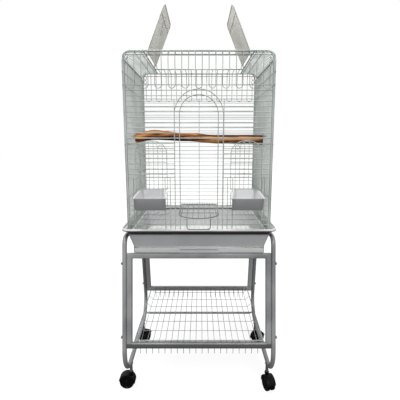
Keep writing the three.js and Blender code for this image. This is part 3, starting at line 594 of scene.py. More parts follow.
strands, upright, level = end_wall(1)
for z in LEVELS:
    strands.append(along_x(-WALL_HALF, WALL_HALF, level, z, WIRE))
for x in (-102, 0, 102):
    strands.append(along_z(x, upright, BOTTOM + 2, BAND_Z, WIRE))
wire_piece("rear_wall_wires", strands, "rear_wall")

# %% [markdown]
# The front wall leaves out wires for the doorway, under a double arch, and for the two
# cup openings. One long wire runs up the doorway's outer post, over the outer arch and
# back down, turns at the foot, and comes up the inner posts and the inner arch.

# %% Front wall
ARCH_Z = 983.3
INNER, OUTER = 59.5, 75.4  # half widths of the inner and the outer arch
FOOT_Z = 622.5
DOORWAY_WIRE = WIRE + 0.15
# Each cup opening's two hanging loops: the near and far wire, and the bend's height.
OPENING_LOOPS = ((90.8, 107, FOOT_Z), (200, 208, 618.5))


def doorway_wire(y):
    foot_middle = (INNER + OUTER) / 2
    foot_radius = (OUTER - INNER) / 2
    pairs = arc((0, ARCH_Z), OUTER, 0, 180, 32)
    pairs += arc((-foot_middle, FOOT_Z), foot_radius, 180, 360, 8)
    pairs += arc((0, ARCH_Z), INNER, 180, 0, 28)
    pairs += arc((foot_middle, FOOT_Z), foot_radius, 180, 360, 8)
    return in_xz(pairs, y), DOORWAY_WIRE, True


strands, upright, level = end_wall(-1)
strands.append(doorway_wire(upright))
for z in LEVELS[:9] + [SILL_Z - row * PITCH for row in range(5)]:
    strands.append(along_x(-WALL_HALF, WALL_HALF, level, z, WIRE))
strands.append(along_x(-WALL_HALF, WALL_HALF, level, LINTEL_Z, BAR))
for side in SIDES.values():
    for z in LEVELS[10:17]:
        strands.append(along_x(side * OUTER, side * WALL_HALF, level, z, WIRE))
    strands.append(along_x(side * OUTER, side * WALL_HALF, level, FEEDER_TOP, BAR))
    for near, far, foot in OPENING_LOOPS:
        near, far = sorted((side * near, side * far))
        strands.append(u_loop(near, far, FEEDER_TOP + 1, FEEDER_TOP + 1, foot, upright))

# A wire wound in waves along the sill guards the doorway's cut edge.
WAVE_STEPS = 8  # half millimetres from a wave's trough to its crest
waves = [
    (-INNER + 2 + 0.5 * i, SILL_Z + 3.4 - 3 * math.cos(math.pi * i / WAVE_STEPS))
    for i in range(0, int(2 * (2 * INNER - 4)) + 1, 2)
]
strands.append((in_xz(waves, level), 0.9, False))
wire_piece("front_wall_wires", strands, "front_wall")

# %% [markdown]
# Each side wall is a flat rectangle of thick wire with thinner uprights inside it, one
# pitch apart. Four stout bars cross them and stick out a few millimetres past the frame,
# front and back: the end walls hook over those ends.

# %% Side walls
SIDE_X = box_mm("right_wall")[1].x - FRAME_WIRE
SIDE_TOP = box_mm("right_wall")[1].z
REACH = box_mm("rear_wall")[1].y
HEAVY_BARS = (1109, BAND_Z, 893.5, 723)
HEAVY_R = 1.3
HALF_STEPS = [(i + 0.5) * PITCH for i in range(-11, 11)]
UPRIGHT_IN, HEAVY_OUT = 1.3, 0.4  # how far inside and outside the frame's plane they lie
HOOK = 5  # how far a heavy bar sticks out past the frame


def side_wall(side):
    x = side * SIDE_X
    edge = REACH - FRAME_WIRE
    outline = rounded_rectangle(edge, BOTTOM + FRAME_WIRE, SIDE_TOP - FRAME_WIRE, 5, 4)
    strands = [(in_yz(outline, x), FRAME_WIRE, True)]
    for y in HALF_STEPS:
        strands.append(along_z(x - side * UPRIGHT_IN, y, BOTTOM + 2, SIDE_TOP - 2, WIRE))
    for z in HEAVY_BARS:
        strands.append(along_y(x + side * HEAVY_OUT, -REACH - HOOK, REACH + HOOK, z, HEAVY_R))
    return strands


for name, side in SIDES.items():
    wire_piece(f"{name}_wall_wires", side_wall(side), f"{name}_wall")

# %% [markdown]
# The roof panel's cross wires run outward and turn down over the side walls. Two thick
# bars and two stout rails leave an opening in its middle, and four wire eyes stand beside
# it for the hinges of the two roof flaps.

# %% Roof
GAP = 0.3
ROOF_Z = TOP - FRAME_WIRE
ROOF_EDGE = HALF_DEPTH - END_HALF - GAP - FRAME_WIRE
OPENING = {"half": 165, "front": -128, "back": 90}
PIN_END = 4.5  # room at each end of a flap for its hinge pin
EYE_R, EYE_WIRE = 3.3, 1.1
flap_low, flap_high = box_mm("left_roof_flap")
FLAP_FRONT, FLAP_BACK = flap_low.y + PIN_END, flap_high.y - PIN_END


def joint_place(name):
    return millimetres(joints[name]["pos_m"])


HINGE_X = abs(joint_place("left_flap_hinge").x)
HINGE_Z = joint_place("left_flap_hinge").z


def hoop(side, inner, y, z, radius):
    """A roof wire that runs outward from x = inner and bends down over the side wall."""
    bend_radius = z - SIDE_TOP - GAP - FRAME_WIRE
    centre = (SIDE_X - bend_radius, z - bend_radius)
    bend = arc(centre, bend_radius, 90, 0, 8)
    pairs = [(inner, z), *bend, (SIDE_X, SIDE_TOP + 1.4)]
    return [(side * a, y, b) for a, b in pairs], radius, False


strands = []
for side in SIDES.values():
    for y in (-ROOF_EDGE, ROOF_EDGE):
        strands.append(hoop(side, 0, y, ROOF_Z, FRAME_WIRE))
    for y in HALF_STEPS:
        strands.append(hoop(side, OPENING["half"], y, ROOF_Z - 2.6, WIRE))
    strands.append(along_y(side * SIDE_X, -ROOF_EDGE, ROOF_EDGE, SIDE_TOP + 1.8, BAR))
    rail_x, rail_z = side * OPENING["half"], ROOF_Z - 0.6
    strands.append(along_y(rail_x, -ROOF_EDGE, ROOF_EDGE, rail_z, FRAME_WIRE))
    for i in range(10):
        x = side * (i + 0.5) * BAND_PITCH
        if i > 7:
            strands.append(along_y(x, -ROOF_EDGE, ROOF_EDGE, ROOF_Z, WIRE))
            continue
        strands.append(along_y(x, -ROOF_EDGE, OPENING["front"], ROOF_Z, WIRE))
        strands.append(along_y(x, OPENING["back"], ROOF_EDGE, ROOF_Z, WIRE))
    for y in (FLAP_FRONT - 2.1, FLAP_BACK + 2.1):
        eye = arc((HINGE_X, HINGE_Z), EYE_R, -30, 210, 14)
        pairs = [(HINGE_X + 4.2, ROOF_Z), *eye, (HINGE_X - 4.2, ROOF_Z - 1)]
        strands.append(([(side * a, y, b) for a, b in pairs], EYE_WIRE, False))
for y in (OPENING["front"], OPENING["back"]):
    strands.append(along_x(-OPENING["half"], OPENING["half"], y, ROOF_Z, FRAME_WIRE))
wire_piece("roof_wires", strands, "roof_grid")

# %% [markdown]
# The roof flaps stand open and lean inward. A flap is drawn flat, as distances out from
# its hinge, along it and above it, and one function lays it down at the angle at which
# the packed flap stands.

# %% Roof flaps
FLAP_WIRES = 25
FLAP_CORNER = 17
DOOR_WIRE, THIN_WIRE, BAR_WIRE = 1.4, 0.8, 1.1


def flap_lean(name, side):
    """Sine and cosine of the angle at which the packed flap stands open, and its length."""
    low, high = box_mm(f"{name}_roof_flap")
    reach = abs((high.x if side < 0 else low.x) - side * HINGE_X)
    rise = high.z - HINGE_Z
    length = math.hypot(reach, rise)
    return rise / length, reach / length, length


def flap_strands(name, side):
    sine, cosine, length = flap_lean(name, side)

    def stand(out, y, above):
        x = side * (HINGE_X - out * cosine + above * sine)
        return x, y, HINGE_Z + out * sine + above * cosine

    edge = length - DOOR_WIRE - 0.4
    front, back = FLAP_FRONT + DOOR_WIRE, FLAP_BACK - DOOR_WIRE
    r = FLAP_CORNER
    frame_path = [(0, front)]
    frame_path += arc((edge - r, front + r), r, -90, 0, 8)
    frame_path += arc((edge - r, back - r), r, 0, 90, 8)
    frame_path.append((0, back))
    strands = [([stand(a, b, 0) for a, b in frame_path], DOOR_WIRE, False)]
    pin = [stand(0, FLAP_FRONT - 4.3, 0), stand(0, FLAP_BACK + 4.3, 0)]
    strands.append((pin, DOOR_WIRE, False))
    step = (back - front) / (FLAP_WIRES + 1)
    for i in range(FLAP_WIRES):
        y = front + (i + 1) * step
        short = max(0, r - min(y - front, back - y))
        end = edge - r + math.sqrt(r * r - short * short)
        strands.append(([stand(0, y, 0.5), stand(end, y, 0.5)], THIN_WIRE, False))
    bar = length * 0.8
    strands.append(([stand(bar, front, -0.9), stand(bar, back, -0.9)], BAR_WIRE, False))
    if side < 0:  # the left flap carries a small hook
        hook = [(bar + 3, 30), (bar - 12, 24), (bar - 40, 44), (bar - 46, 42), (bar - 44, 36)]
        strands.append(([stand(a, b - 90, -2.6) for a, b in hook], 0.9, False))
    return strands


for name, side in SIDES.items():
    strands = flap_strands(name, side)
    # The flaps' paler coat is painted light.
    wire_piece(f"{name}_flap_wires", strands, f"{name}_roof_flap", 8, flap_lit_paint)

# %% [markdown]
# The main door lies open, level, in front of its sill. Its frame is one bent wire with
# a round end. Below its tip hangs a bail, a loop of wire that swings over the tip and
# holds the door when it is shut.

# %% Main door and bail
FINE_WIRE = 0.85
DOOR_BARS = (62, 124)  # how far the door's cross wires lie from its hinge
door_hinge = joint_place("main_door_hinge")
door_low, door_high = box_mm("main_door")
DOOR_HALF = door_high.x - DOOR_WIRE
DOOR_TIP = door_low.y + DOOR_WIRE
round_y = DOOR_TIP + DOOR_HALF
outline = [(DOOR_HALF, door_hinge.y)]
outline += arc((0, round_y), DOOR_HALF, 0, -180, 28)
outline.append((-DOOR_HALF, door_hinge.y))
strands = [(in_xy(outline, door_hinge.z), DOOR_WIRE, False)]
strands.append(along_x(-DOOR_HALF, DOOR_HALF, door_hinge.y, door_hinge.z, DOOR_WIRE))
for i in range(-3, 4):
    x = i * PITCH
    end = round_y - math.sqrt(DOOR_HALF**2 - x**2)
    strands.append(along_y(x, end, door_hinge.y, door_hinge.z + 0.6, FINE_WIRE))
for reach in DOOR_BARS:
    y = door_hinge.y - reach
    strands.append(along_x(-DOOR_HALF, DOOR_HALF, y, door_hinge.z - 0.7, 1.0))
# The door's darker coat is painted shade.
wire_piece("main_door_wires", strands, "main_door", 8, door_shaded_paint)

bail_place = joint_place("door_bail_hinge")
BAIL_HALF, BAIL_BEND, BAIL_EAR = 31, 7, 3.4
foot = box_mm("door_bail")[0].z + WIRE + BAIL_BEND
pairs = [(-BAIL_HALF - BAIL_EAR, bail_place.z), (-BAIL_HALF, bail_place.z - 1)]
pairs += arc((-BAIL_HALF + BAIL_BEND, foot), BAIL_BEND, 180, 270, 6)
pairs += arc((BAIL_HALF - BAIL_BEND, foot), BAIL_BEND, 270, 360, 6)
pairs += [(BAIL_HALF, bail_place.z - 1), (BAIL_HALF + BAIL_EAR, bail_place.z)]
bail = [(in_xz(pairs, bail_place.y), WIRE, False)]
# The bail shares the door's darker coat, painted shade.
wire_piece("door_bail_wire", bail, "door_bail", 8, door_shaded_paint)

# %% [markdown]
# A feeder door closes each cup opening from above. Its bars are bent in pairs: the
# middle pair meets in a small arch inside the big one, and the outer pair rolls up into
# scrolls. At the foot the bars turn into each other, so that no wire end faces the bird.

# %% Feeder doors
FEEDER_X = 148.6
feeder_low, feeder_high = box_mm("right_feeder_door")
FEEDER_HALF = (feeder_high.x - feeder_low.x) / 2 - WIRE
FEEDER_Y = feeder_high.y - WIRE
FEEDER_FOOT = feeder_low.z + WIRE
SHOULDER = 867
SCROLL, SCROLL_Z = 6.2, 885
RISE = feeder_high.z - WIRE - SHOULDER
FEEDER_LEVELS = (FEEDER_TOP + 10, FEEDER_TOP + 48, SHOULDER + 4)


def feeder_door(side):
    middle = side * FEEDER_X
    gap = 2 * FEEDER_HALF / 7  # six bars leave seven gaps
    foot = FEEDER_FOOT + gap / 2
    inner = 1.5 * gap
    inner_top = SHOULDER + RISE - inner - 2
    outline = [(FEEDER_HALF, FEEDER_FOOT)]
    outline += arc((0, SHOULDER), FEEDER_HALF, 0, 180, 24, RISE)
    outline.append((-FEEDER_HALF, FEEDER_FOOT))
    small_arch = [(inner, foot), *arc((0, inner_top), inner, 0, 180), (-inner, foot)]
    thin = [small_arch]
    for turn, start, end in ((1, 0, 330), (-1, 180, -150)):
        outer = turn * 2.5 * gap
        scroll = arc((outer - turn * SCROLL, SCROLL_Z), SCROLL, start, end, 18)
        thin.append([(outer, foot), *scroll])
        top = inner_top + math.sqrt(inner**2 - (gap / 2) ** 2)
        thin.append([(turn * gap / 2, foot), (turn * gap / 2, top)])
    for i in range(-3, 4):
        thin.append(arc((i * gap, foot), gap / 2, 180, 360, 8))
    strands = [(in_xz([(middle + a, b) for a, b in outline], FEEDER_Y), WIRE, True)]
    for pairs in thin:
        placed = [(middle + a, b) for a, b in pairs]
        strands.append((in_xz(placed, FEEDER_Y - 0.5), THIN_WIRE, False))
    for z in FEEDER_LEVELS:
        left, right = middle - FEEDER_HALF, middle + FEEDER_HALF
        strands.append(along_x(left, right, FEEDER_Y + 0.5, z, 0.7))
    return strands


for name, side in SIDES.items():
    wire_piece(f"{name}_feeder_wires", feeder_door(side), f"{name}_feeder_door")

# %% [markdown]
# Bent and moulded parts need more than wire. A loft joins rings of points with faces,
# like the planks over the ribs of a boat. A lathe turns a profile about an axis, and is a
# loft too, whose rings are circles.

# %% Lofts and lathes
def reworked(mesh, change):
    """The mesh after a change that works on its editable form."""
    work = bmesh.new()
    work.from_mesh(mesh)
    change(work)
    work.to_mesh(mesh)
    work.free()
    return mesh


def mesh_from(name, points, faces):
    """A mesh from points in millimetres, with its faces turned outward."""
    mesh = bpy.data.meshes.new(name)
    mesh.from_pydata([at(*point) for point in points], [], faces)
    return reworked(mesh, lambda work: bmesh.ops.recalc_face_normals(work, faces=work.faces))


def loft(name, rings, closed=False):
    """Faces between rings of points; the first and last are capped unless it closes."""
    count = len(rings[0])
    points = [point for ring in rings for point in ring]
    faces = []
    spans = len(rings) if closed else len(rings) - 1
    for k in range(spans):
        here, there = k * count, (k + 1) % len(rings) * count
        for i in range(count):
            j = (i + 1) % count
            faces.append((here + i, here + j, there + j, there + i))
    if not closed:
        faces.append(tuple(range(count))[::-1])
        faces.append(tuple(range(len(points) - count, len(points))))
    return mesh_from(name, points, faces)


def lathe(name, profile, place, axis, segments=32):
    """Turns (radius, distance along the axis) pairs about an axis through a place."""
    axis = Vector(axis).normalized()
    across = axis.orthogonal().normalized()
    other = axis.cross(across)
    rings = []
    for radius, far in profile:
        ring = []
        for i in range(segments):
            turn = 2 * math.pi * i / segments
            out = across * math.cos(turn) + other * math.sin(turn)
            ring.append(Vector(place) + axis * far + out * radius)
        rings.append(ring)
    return loft(name, rings, closed=profile[0] == profile[-1])


def joined(name, meshes):
    """One mesh holding several."""
    work = bmesh.new()
    for mesh in meshes:
        work.from_mesh(mesh)
    made = bpy.data.meshes.new(name)
    work.to_mesh(made)
    work.free()
    return made


print("shaping tools:", [tool.__name__ for tool in (loft, lathe, joined)])

# %% [markdown]
# A slot or a hollow is easier to cut than to draw. A boolean takes one closed mesh off
# another, or adds it, as a cutter does in a workshop. Most cutters are blocks, and their
# rounded edges leave rounded edges behind, as a mould does.

# %% Cuts and blocks
def carve(mesh, tool, operation="DIFFERENCE"):
    """Mesh with a tool's shape taken off it, or added to it."""
    body = bpy.data.objects.new("body", mesh)
    cutter = bpy.data.objects.new("cutter", tool)
    for thing in (body, cutter):
        bpy.context.scene.collection.objects.link(thing)
    cut = body.modifiers.new("cut", "BOOLEAN")
    cut.operation = operation
    cut.solver = "EXACT"
    cut.object = cutter
    ready = body.evaluated_get(bpy.context.evaluated_depsgraph_get())
    made = bpy.data.meshes.new_from_object(ready)
    for thing in (body, cutter):
        bpy.data.objects.remove(thing)
    return made


def block(name, low, high, edge):
    """A box between two corners, with its edges rounded by that radius."""
    x0, y0, z0 = low
    x1, y1, z1 = high
    pairs = [(x0, y0), (x1, y0), (x1, y1), (x0, y1)]

    def round_edges(work):
        edges = list(work.edges)
        bmesh.ops.bevel(
            work, geom=edges, offset=edge * MM, segments=3, profile=0.5, affect="EDGES"
        )

    return reworked(loft(name, [in_xy(pairs, z0), in_xy(pairs, z1)]), round_edges)


print("cutting tools:", [tool.__name__ for tool in (carve, block)])

# %% [markdown]
# A cup is a moulded box that narrows towards the back, so that it drops into its wire
# cradle from the front. Its rim climbs towards the cage, and a flange round the front
# part carries it. Its plan has four sides and rounded corners. Each point of the plan
# comes with the direction that leads outward there, because the cup grows that way.

# %% Plan of a cup
CUP_FRONT, CUP_BACK, CUP_HALF, CUP_BACK_HALF = -238, -150, 49, 33
RIM_FRONT, RIM_BACK, RIM_BREAK = 733, 750, -184
CUP_WALL = 2.2
CUP_FLOOR, CUP_RISE = 696, 12  # height of the cup's floor, and its rise to the rear
RISE_START, RISE_RUN = -224, 70
CUP_LEAN, BACK_LEAN, CUP_DRAFT = 5, 4, 1.5  # how much smaller the floor is than the rim


def rounded_plan(corners, radius, bend=5, straight=8):
    """Points and outward directions round a four-sided plan with rounded corners."""
    corners = [Vector(corner) for corner in corners]
    points = []
    for i, corner in enumerate(corners):
        before = (corners[i - 1] - corner).normalized() * radius
        after = (corners[(i + 1) % 4] - corner).normalized() * radius
        start, end = corner + before, corner + after
        for k in range(bend + 1):
            t = k / bend
            points.append((1 - t) ** 2 * start + 2 * t * (1 - t) * corner + t * t * end)
        leave = corners[(i + 1) % 4] - after
        points += [end.lerp(leave, k / straight) for k in range(1, straight)]
    ways = []
    for i in range(len(points)):
        along = points[(i + 1) % len(points)] - points[i - 1]
        ways.append(Vector((along.y, -along.x)).normalized())
    return points, ways


print("cup plan:", 2 * CUP_HALF, "wide in front and", 2 * CUP_BACK_HALF, "at the back")

# %% [markdown]
# The cup is a loft, and each of its rings is the plan, moved in or out, with its height
# worked out from how far back each point lies. The rings start on the underside, go up
# the outside, over the flange and the rim, and down the inside to the floor, so the cup
# is one closed skin with a real wall.

# %% Rings of a cup
def cup_ring(share, grow, height, lift=0.0, flange=0.0):
    """One ring of the cup: share runs from 0 at the floor to 1 at the rim."""
    front = CUP_FRONT + CUP_LEAN * (1 - share)
    back = CUP_BACK - BACK_LEAN * (1 - share)
    draft = CUP_DRAFT * (1 - share)
    wide, narrow = CUP_HALF - draft, CUP_BACK_HALF - draft
    corners = [(-wide, front), (wide, front), (narrow, back), (-narrow, back)]
    points, ways = rounded_plan(corners, 6)
    ring = []
    for point, way in zip(points, ways):
        fade = min(1, max(0, (RIM_BREAK - 3 - point.y) / 4))
        moved = point + way * (grow + flange * fade)
        ring.append((moved.x, max(moved.y, CUP_FRONT), height(point.y) + lift))
    return ring


def rim(y):
    return RIM_FRONT + (RIM_BACK - RIM_FRONT) * min(1, (y - CUP_FRONT) / (RIM_BREAK - CUP_FRONT))


def floor(y):
    return CUP_FLOOR + CUP_RISE * max(0, (y - RISE_START) / RISE_RUN)


# Share, growth, base line, height above it and flange of each ring, outside and then in.
CUP_RINGS = [
    (0, -3, floor), (0, -0.9, floor, 0.8), (0.05, 0, floor, 3),
    (1, 0, rim, -2.2), (1, 0.3, rim, -2, 2.2), (1, 0, rim, -1.4, 3), (1, 0, rim, -0.5, 3),
    (1, -0.4, rim, 0, 2.8), (1, -1.6, rim), (1, -CUP_WALL, rim, -0.8),
    (0.1, -CUP_WALL, floor, 5), (0.05, -CUP_WALL - 1.2, floor, 3.1),
    (0, -CUP_WALL - 3.5, floor, CUP_WALL),
]
print(len(CUP_RINGS), "rings in a cup")

# %% [markdown]
# Both cups are the same loft, one on each side. The faces outside get a darker finish,
# as painted shade, and those inside a paler one, as painted light, on what is one grey
# plastic; the paler one is a second material on the same mesh, so that the skin stays whole.

# %% Feeder cups
def cup_mesh(side):
    middle = side * FEEDER_X
    rings = [cup_ring(*numbers) for numbers in CUP_RINGS]
    return loft("cup", [[(middle + x, y, z) for x, y, z in ring] for ring in rings])


OUTER_BANDS = 6  # bands of faces from the floor's edge up to the rim
FLOOR_CAP = len(CUP_RINGS) - 1  # the floor's underside comes after all the bands
for name, side in SIDES.items():
    shell = cup_mesh(side)
    piece(f"{name}_cup_shell", shell, f"{name}_cup", cup_plastic)
    # The paler inside finish is painted light.
    shell.materials.append(cup_lit_inside)
    around = len(cup_ring(1, 0, rim))
    outside = [*range(OUTER_BANDS * around), FLOOR_CAP * around]
    for face in shell.polygons:
        face.material_index = 0 if face.index in outside else 1

# %% [markdown]
# The cradle is one wire. It comes down one post beside the opening, crosses below, and
# goes up the other; near the top both ends run forward as arms under the cup's flange.

# %% Cup cradles
CRADLE_R = 1.0
CRADLE_BEND = 3
ARM_ENDS = (-226, -197)  # where an arm starts and ends, front to back


def cradle(name, side):
    low, high = box_mm(f"{name}_cup_holder")
    post_y = high.y - CRADLE_R
    foot = low.z + CRADLE_R
    taper = (CUP_HALF - CUP_BACK_HALF) / (CUP_BACK - CUP_FRONT + 10)

    def half_of(x, way, start):
        """From an arm's tip, back, round to the post, down it, and into the crossing."""
        points = []
        for y in ARM_ENDS:
            reach = CUP_HALF - taper * (y - CUP_FRONT + 5) + 1.6
            points.append((side * FEEDER_X + way * reach, y, rim(y) - 3.7))
        points += [(x, post_y - 2, 742), (x, post_y, 740)]
        centre = (x - way * CRADLE_BEND, foot + CRADLE_BEND)
        return points + in_xz(arc(centre, CRADLE_BEND, start, start - way * 90, 5), post_y)

    left = half_of(low.x + CRADLE_R, -1, 180)
    right = half_of(high.x - CRADLE_R, 1, 0)
    return [(left + right[::-1], CRADLE_R, False)]


for name, side in SIDES.items():
    wire_piece(f"{name}_cradle_wire", cradle(name, side), f"{name}_cup_holder")

# %% [markdown]
# The perch is grown, not made, so it is a loft whose rings wander. Its height and girth
# follow a few knots along its length, like the packed branch, and noise adds the lumps,
# shallow grooves and one stub of a cut side twig. A threaded rod sticks out at each end.

# %% Perch
stud_place = millimetres((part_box("left_perch_nut")[0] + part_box("left_perch_nut")[1]) / 2)
PERCH_Y, PERCH_Z = stud_place.y, stud_place.z
PERCH_HALF = SIDE_X - 2.6
PERCH_R = 16
LUMPS, GROOVES, STUB = 1.1, 0.55, 0.7  # how far each stands out from the wood
STUB_AT, STUB_TURN = -0.52, 1.9  # where along and round the branch the cut twig is
PERCH_STEPS = 150
ROD_CREST, ROD_ROOT, THREAD_STEP, THREAD_STEPS = 2.5, 2.15, 0.32, 44
ROD_HALF = box_mm("perch")[1].x
BRANCH = [  # place from -1 to 1, rise and girth of each knot
    (-1, -6.7, 1.0), (-0.73, 4.5, 1.06), (-0.2, -3.2, 0.92), (0.32, -11, 0.95), (1, -13.1, 1.06)
]


def branch_at(along):
    """Rise above the rod and girth of the branch, at -1 on the left to 1 on the right."""
    for (a, rise_a, girth_a), (b, rise_b, girth_b) in zip(BRANCH, BRANCH[1:]):
        if along <= b:
            share = (along - a) / (b - a)
            share = share * share * (3 - 2 * share)
            return rise_a + (rise_b - rise_a) * share, girth_a + (girth_b - girth_a) * share
    return BRANCH[-1][1:]


def branch_ring(along, shrink, sides=56):
    rise, girth = branch_at(along)
    middle_y = PERCH_Y + 2 * math.sin(3 * along)
    middle_z = PERCH_Z + rise
    ring = []
    for i in range(sides):
        turn = 2 * math.pi * i / sides
        way = Vector((0, math.cos(turn), math.sin(turn)))
        spot = Vector((along * 2.4, way.y * 1.3, way.z * 1.3))
        lump = LUMPS * noise.noise(spot * 1.7)
        groove = GROOVES * noise.noise(Vector((along * 3.5, way.y * 5.5, way.z * 5.5)))
        off_along, off_turn = (along - STUB_AT) ** 2, (turn - STUB_TURN) ** 2
        stub = STUB * math.exp(-off_along / 0.0018 - off_turn / 0.06)
        radius = PERCH_R * girth * shrink + (lump + groove + stub) * shrink
        y, z = middle_y + radius * way.y, middle_z + radius * way.z
        ring.append((along * PERCH_HALF, y, z))
    return ring


places = [-1 + 2 * i / PERCH_STEPS for i in range(PERCH_STEPS + 1)]
rings = [branch_ring(-1, 0.86), branch_ring(-1, 0.95)]
rings += [branch_ring(place * 0.998, 1) for place in places]
rings += [branch_ring(1, 0.95), branch_ring(1, 0.86)]
branch = loft("branch", rings)
turns = []
for i in range(THREAD_STEPS):
    turns.append((ROD_CREST if i % 2 else ROD_ROOT, PERCH_HALF - 1 + i * THREAD_STEP))
thread = [pair for pair in turns if pair[1] < ROD_HALF - 0.4] + [(1.8, ROD_HALF)]
rods = [lathe("rod", thread, (0, PERCH_Y, PERCH_Z), (way, 0, 0), 20) for way in (-1, 1)]
piece("perch_branch", joined("perch", [branch, *rods]), "perch", wood.material, 50)

# %% [markdown]
# Each rod carries a washer and a hexagon nut outside the side wall. The nut is a
# six-sided loft whose corners are turned off at its outer face, as on a real nut.

# %% Perch nuts
NUT_BORE, NUT_FLAT = 2.9, 6.0
WASHER_R, WASHER_THICK, WASHER_EDGE = 9.5, 1.6, 0.4


def nut_mesh(node):
    low, high = box_mm(node)
    way = 1 if high.x > 0 else -1
    face = min(abs(low.x), abs(high.x))
    end = max(abs(low.x), abs(high.x))
    seat = face + WASHER_THICK
    inner = WASHER_R - WASHER_EDGE
    washer = [(NUT_BORE, face), (inner, face), (WASHER_R, face + WASHER_EDGE)]
    washer += [(WASHER_R, face + 1.2), (inner, seat), (NUT_BORE, seat), (NUT_BORE, face)]
    place = (0, PERCH_Y, PERCH_Z)
    rings = []
    for radius, trim, far in (
        (NUT_BORE, 0, seat), (NUT_FLAT, 0.35, seat), (NUT_FLAT, 0, face + 2.1),
        (NUT_FLAT, 0, end - 0.7), (NUT_FLAT, 0.5, end), (NUT_BORE, 0, end),
    ):
        ring = []
        for i in range(48):
            turn = 2 * math.pi * i / 48
            corner = math.cos(math.pi / 6) / math.cos((turn % (math.pi / 3)) - math.pi / 6)
            flat = min(radius * corner, radius * 0.985) - trim
            out = radius if radius == NUT_BORE else flat
            y, z = PERCH_Y + out * math.cos(turn), PERCH_Z + out * math.sin(turn)
            ring.append((way * far, y, z))
        rings.append(ring)
    nut = loft("nut", rings, closed=True)
    return joined("perch_nut", [lathe("washer", washer, place, (way, 0, 0)), nut])


for name in SIDES:
    node = f"{name}_perch_nut"
    piece(f"{name}_nut_and_washer", nut_mesh(node), node, zinc.material, 30)

# %% [markdown]
# The base is a moulded tub: a skirt flares out from the foot, a flange sticks out from its
# top and turns up to a rim, and a step inside it carries the cage. It is a loft over its
# whole section, out over the skirt and back down inside, with the plan as a rounded
# rectangle. Ribs stiffen the skirt on such tubs, but only from below, so the outside
# stays smooth.

# %% Base tub
TUB_X, TUB_Y = 228.6, 177.8
SLOT_HALF, SLOT_LOW, SLOT_HIGH = 212.4, 540, 558.4
SLOT_FRONT, SLOT_BACK, SLOT_EDGE = -200, -100, 1.2


def tub_ring(out, z, radius):
    """The tub's plan moved out by a distance, at height z."""
    half_x, half_y = TUB_X + out, TUB_Y + out
    pairs = rounded_rectangle(half_x, -half_y, half_y, radius, 8)
    return in_xy(pairs, z)


tub_section = [  # out from the plan, height and corner radius of each ring
    (-12.4, 537.3, 8), (-11.6, 538.1, 9), (-11.6, 560.2, 9), (-11.0, 562.6, 9.5),
    (3.2, 605.0, 17), (5.2, 611.6, 18), (6.8, 614.0, 19), (18.6, 616.6, 26), (20.6, 617.6, 27),
    (21.1, 619.4, 27), (21.1, 625.8, 27), (20.7, 626.7, 27), (19.9, 627, 26),
    (19.2, 626.7, 26), (18.8, 625.9, 26), (18.6, 620.6, 26), (17.4, 619.4, 25),
    (5.6, 617.0, 18), (3.6, 615.8, 17), (3.2, 611.6, 17), (2.4, 610.7, 16), (-11.4, 610.7, 9),
    (-12.3, 609.8, 8), (-15, 561, 6), (-15, 538.1, 6), (-14.2, 537.3, 6),
]
tub = loft("tub", [tub_ring(*ring) for ring in tub_section], closed=True)
slot_back = (SLOT_HALF, SLOT_BACK, SLOT_HIGH)
tub = carve(tub, block("slot", (-SLOT_HALF, SLOT_FRONT, SLOT_LOW), slot_back, SLOT_EDGE))
piece("moulded_tub", tub, "base_tub", base_plastic, 35)

# %% [markdown]
# Under the cage lies a welded floor grate of thin wire in a thicker frame; droppings
# fall through it to the tray.

# %% Floor grate
grate_low, grate_high = box_mm("floor_grate")
GRATE_R = 1.1
half_x, half_y = grate_high.x - GRATE_R, grate_high.y - GRATE_R
grate_z = (grate_low.z + grate_high.z) / 2
outline = rounded_rectangle(half_x, -half_y, half_y, 5, 5)
strands = [(in_xy(outline, grate_z), GRATE_R, True)]
count = int(half_x // PITCH)
for i in range(-count, count + 1):
    strands.append(along_y(i * PITCH, -half_y, half_y, grate_z + 0.3, FINE_WIRE))
for y in (-half_y / 2, 0, half_y / 2):
    strands.append(along_x(-half_x, half_x, y, grate_z - 0.3, THIN_WIRE))
# The grate's paler coat is painted light.
wire_piece("grate_wires", strands, "floor_grate", 6, grate_lit_paint)

# %% [markdown]
# The tray slides in below the grate. It is a shallow moulded pan with a front panel that
# stands a little proud of the tub. A finger recess with slanted ends is sunk in the
# panel's middle, and a lip above it gives the hand something to pull. Blocks with
# rounded edges are cut from and added to one another.

# %% Pull-out tray
tray_low, tray_high = box_mm("pull_out_tray")
TRAY_HALF = tray_high.x
PANEL_TOP = 554.5
RECESS_HALF, RISER_HALF = 62.5, 65.5
PAN_FLOOR = tray_low.z + 2
WALL_FRONT = -162.4
LIP_LOW, LIP_DEEP = 550, 3
RECESS_TOP, SLANT = 552, 3
PAN_EDGE = 0.9
pan = block("pan", tray_low, (TRAY_HALF, tray_high.y, PANEL_TOP), PAN_EDGE)
hollow = block(
    "hollow", (-TRAY_HALF + 2, WALL_FRONT, PAN_FLOOR),
    (TRAY_HALF - 2, tray_high.y - 2, PANEL_TOP + 8), 1.5
)
pan = carve(pan, hollow)
lip_front = tray_low.y
lip_back = (RISER_HALF, lip_front + LIP_DEEP, tray_high.z)
pan = carve(pan, block("lip", (-RISER_HALF, lip_front, LIP_LOW), lip_back, PAN_EDGE), "UNION")
below = tray_low.z - 4
slanted = [(RECESS_HALF - SLANT, below), (RECESS_HALF, RECESS_TOP)]
slanted += [(-RECESS_HALF, RECESS_TOP), (SLANT - RECESS_HALF, below)]
recess = loft("recess", [in_xz(slanted, lip_front - 5), in_xz(slanted, lip_front + 6)])
pan = carve(pan, recess)
piece("tray_pan", pan, "pull_out_tray", tray_plastic, 35)

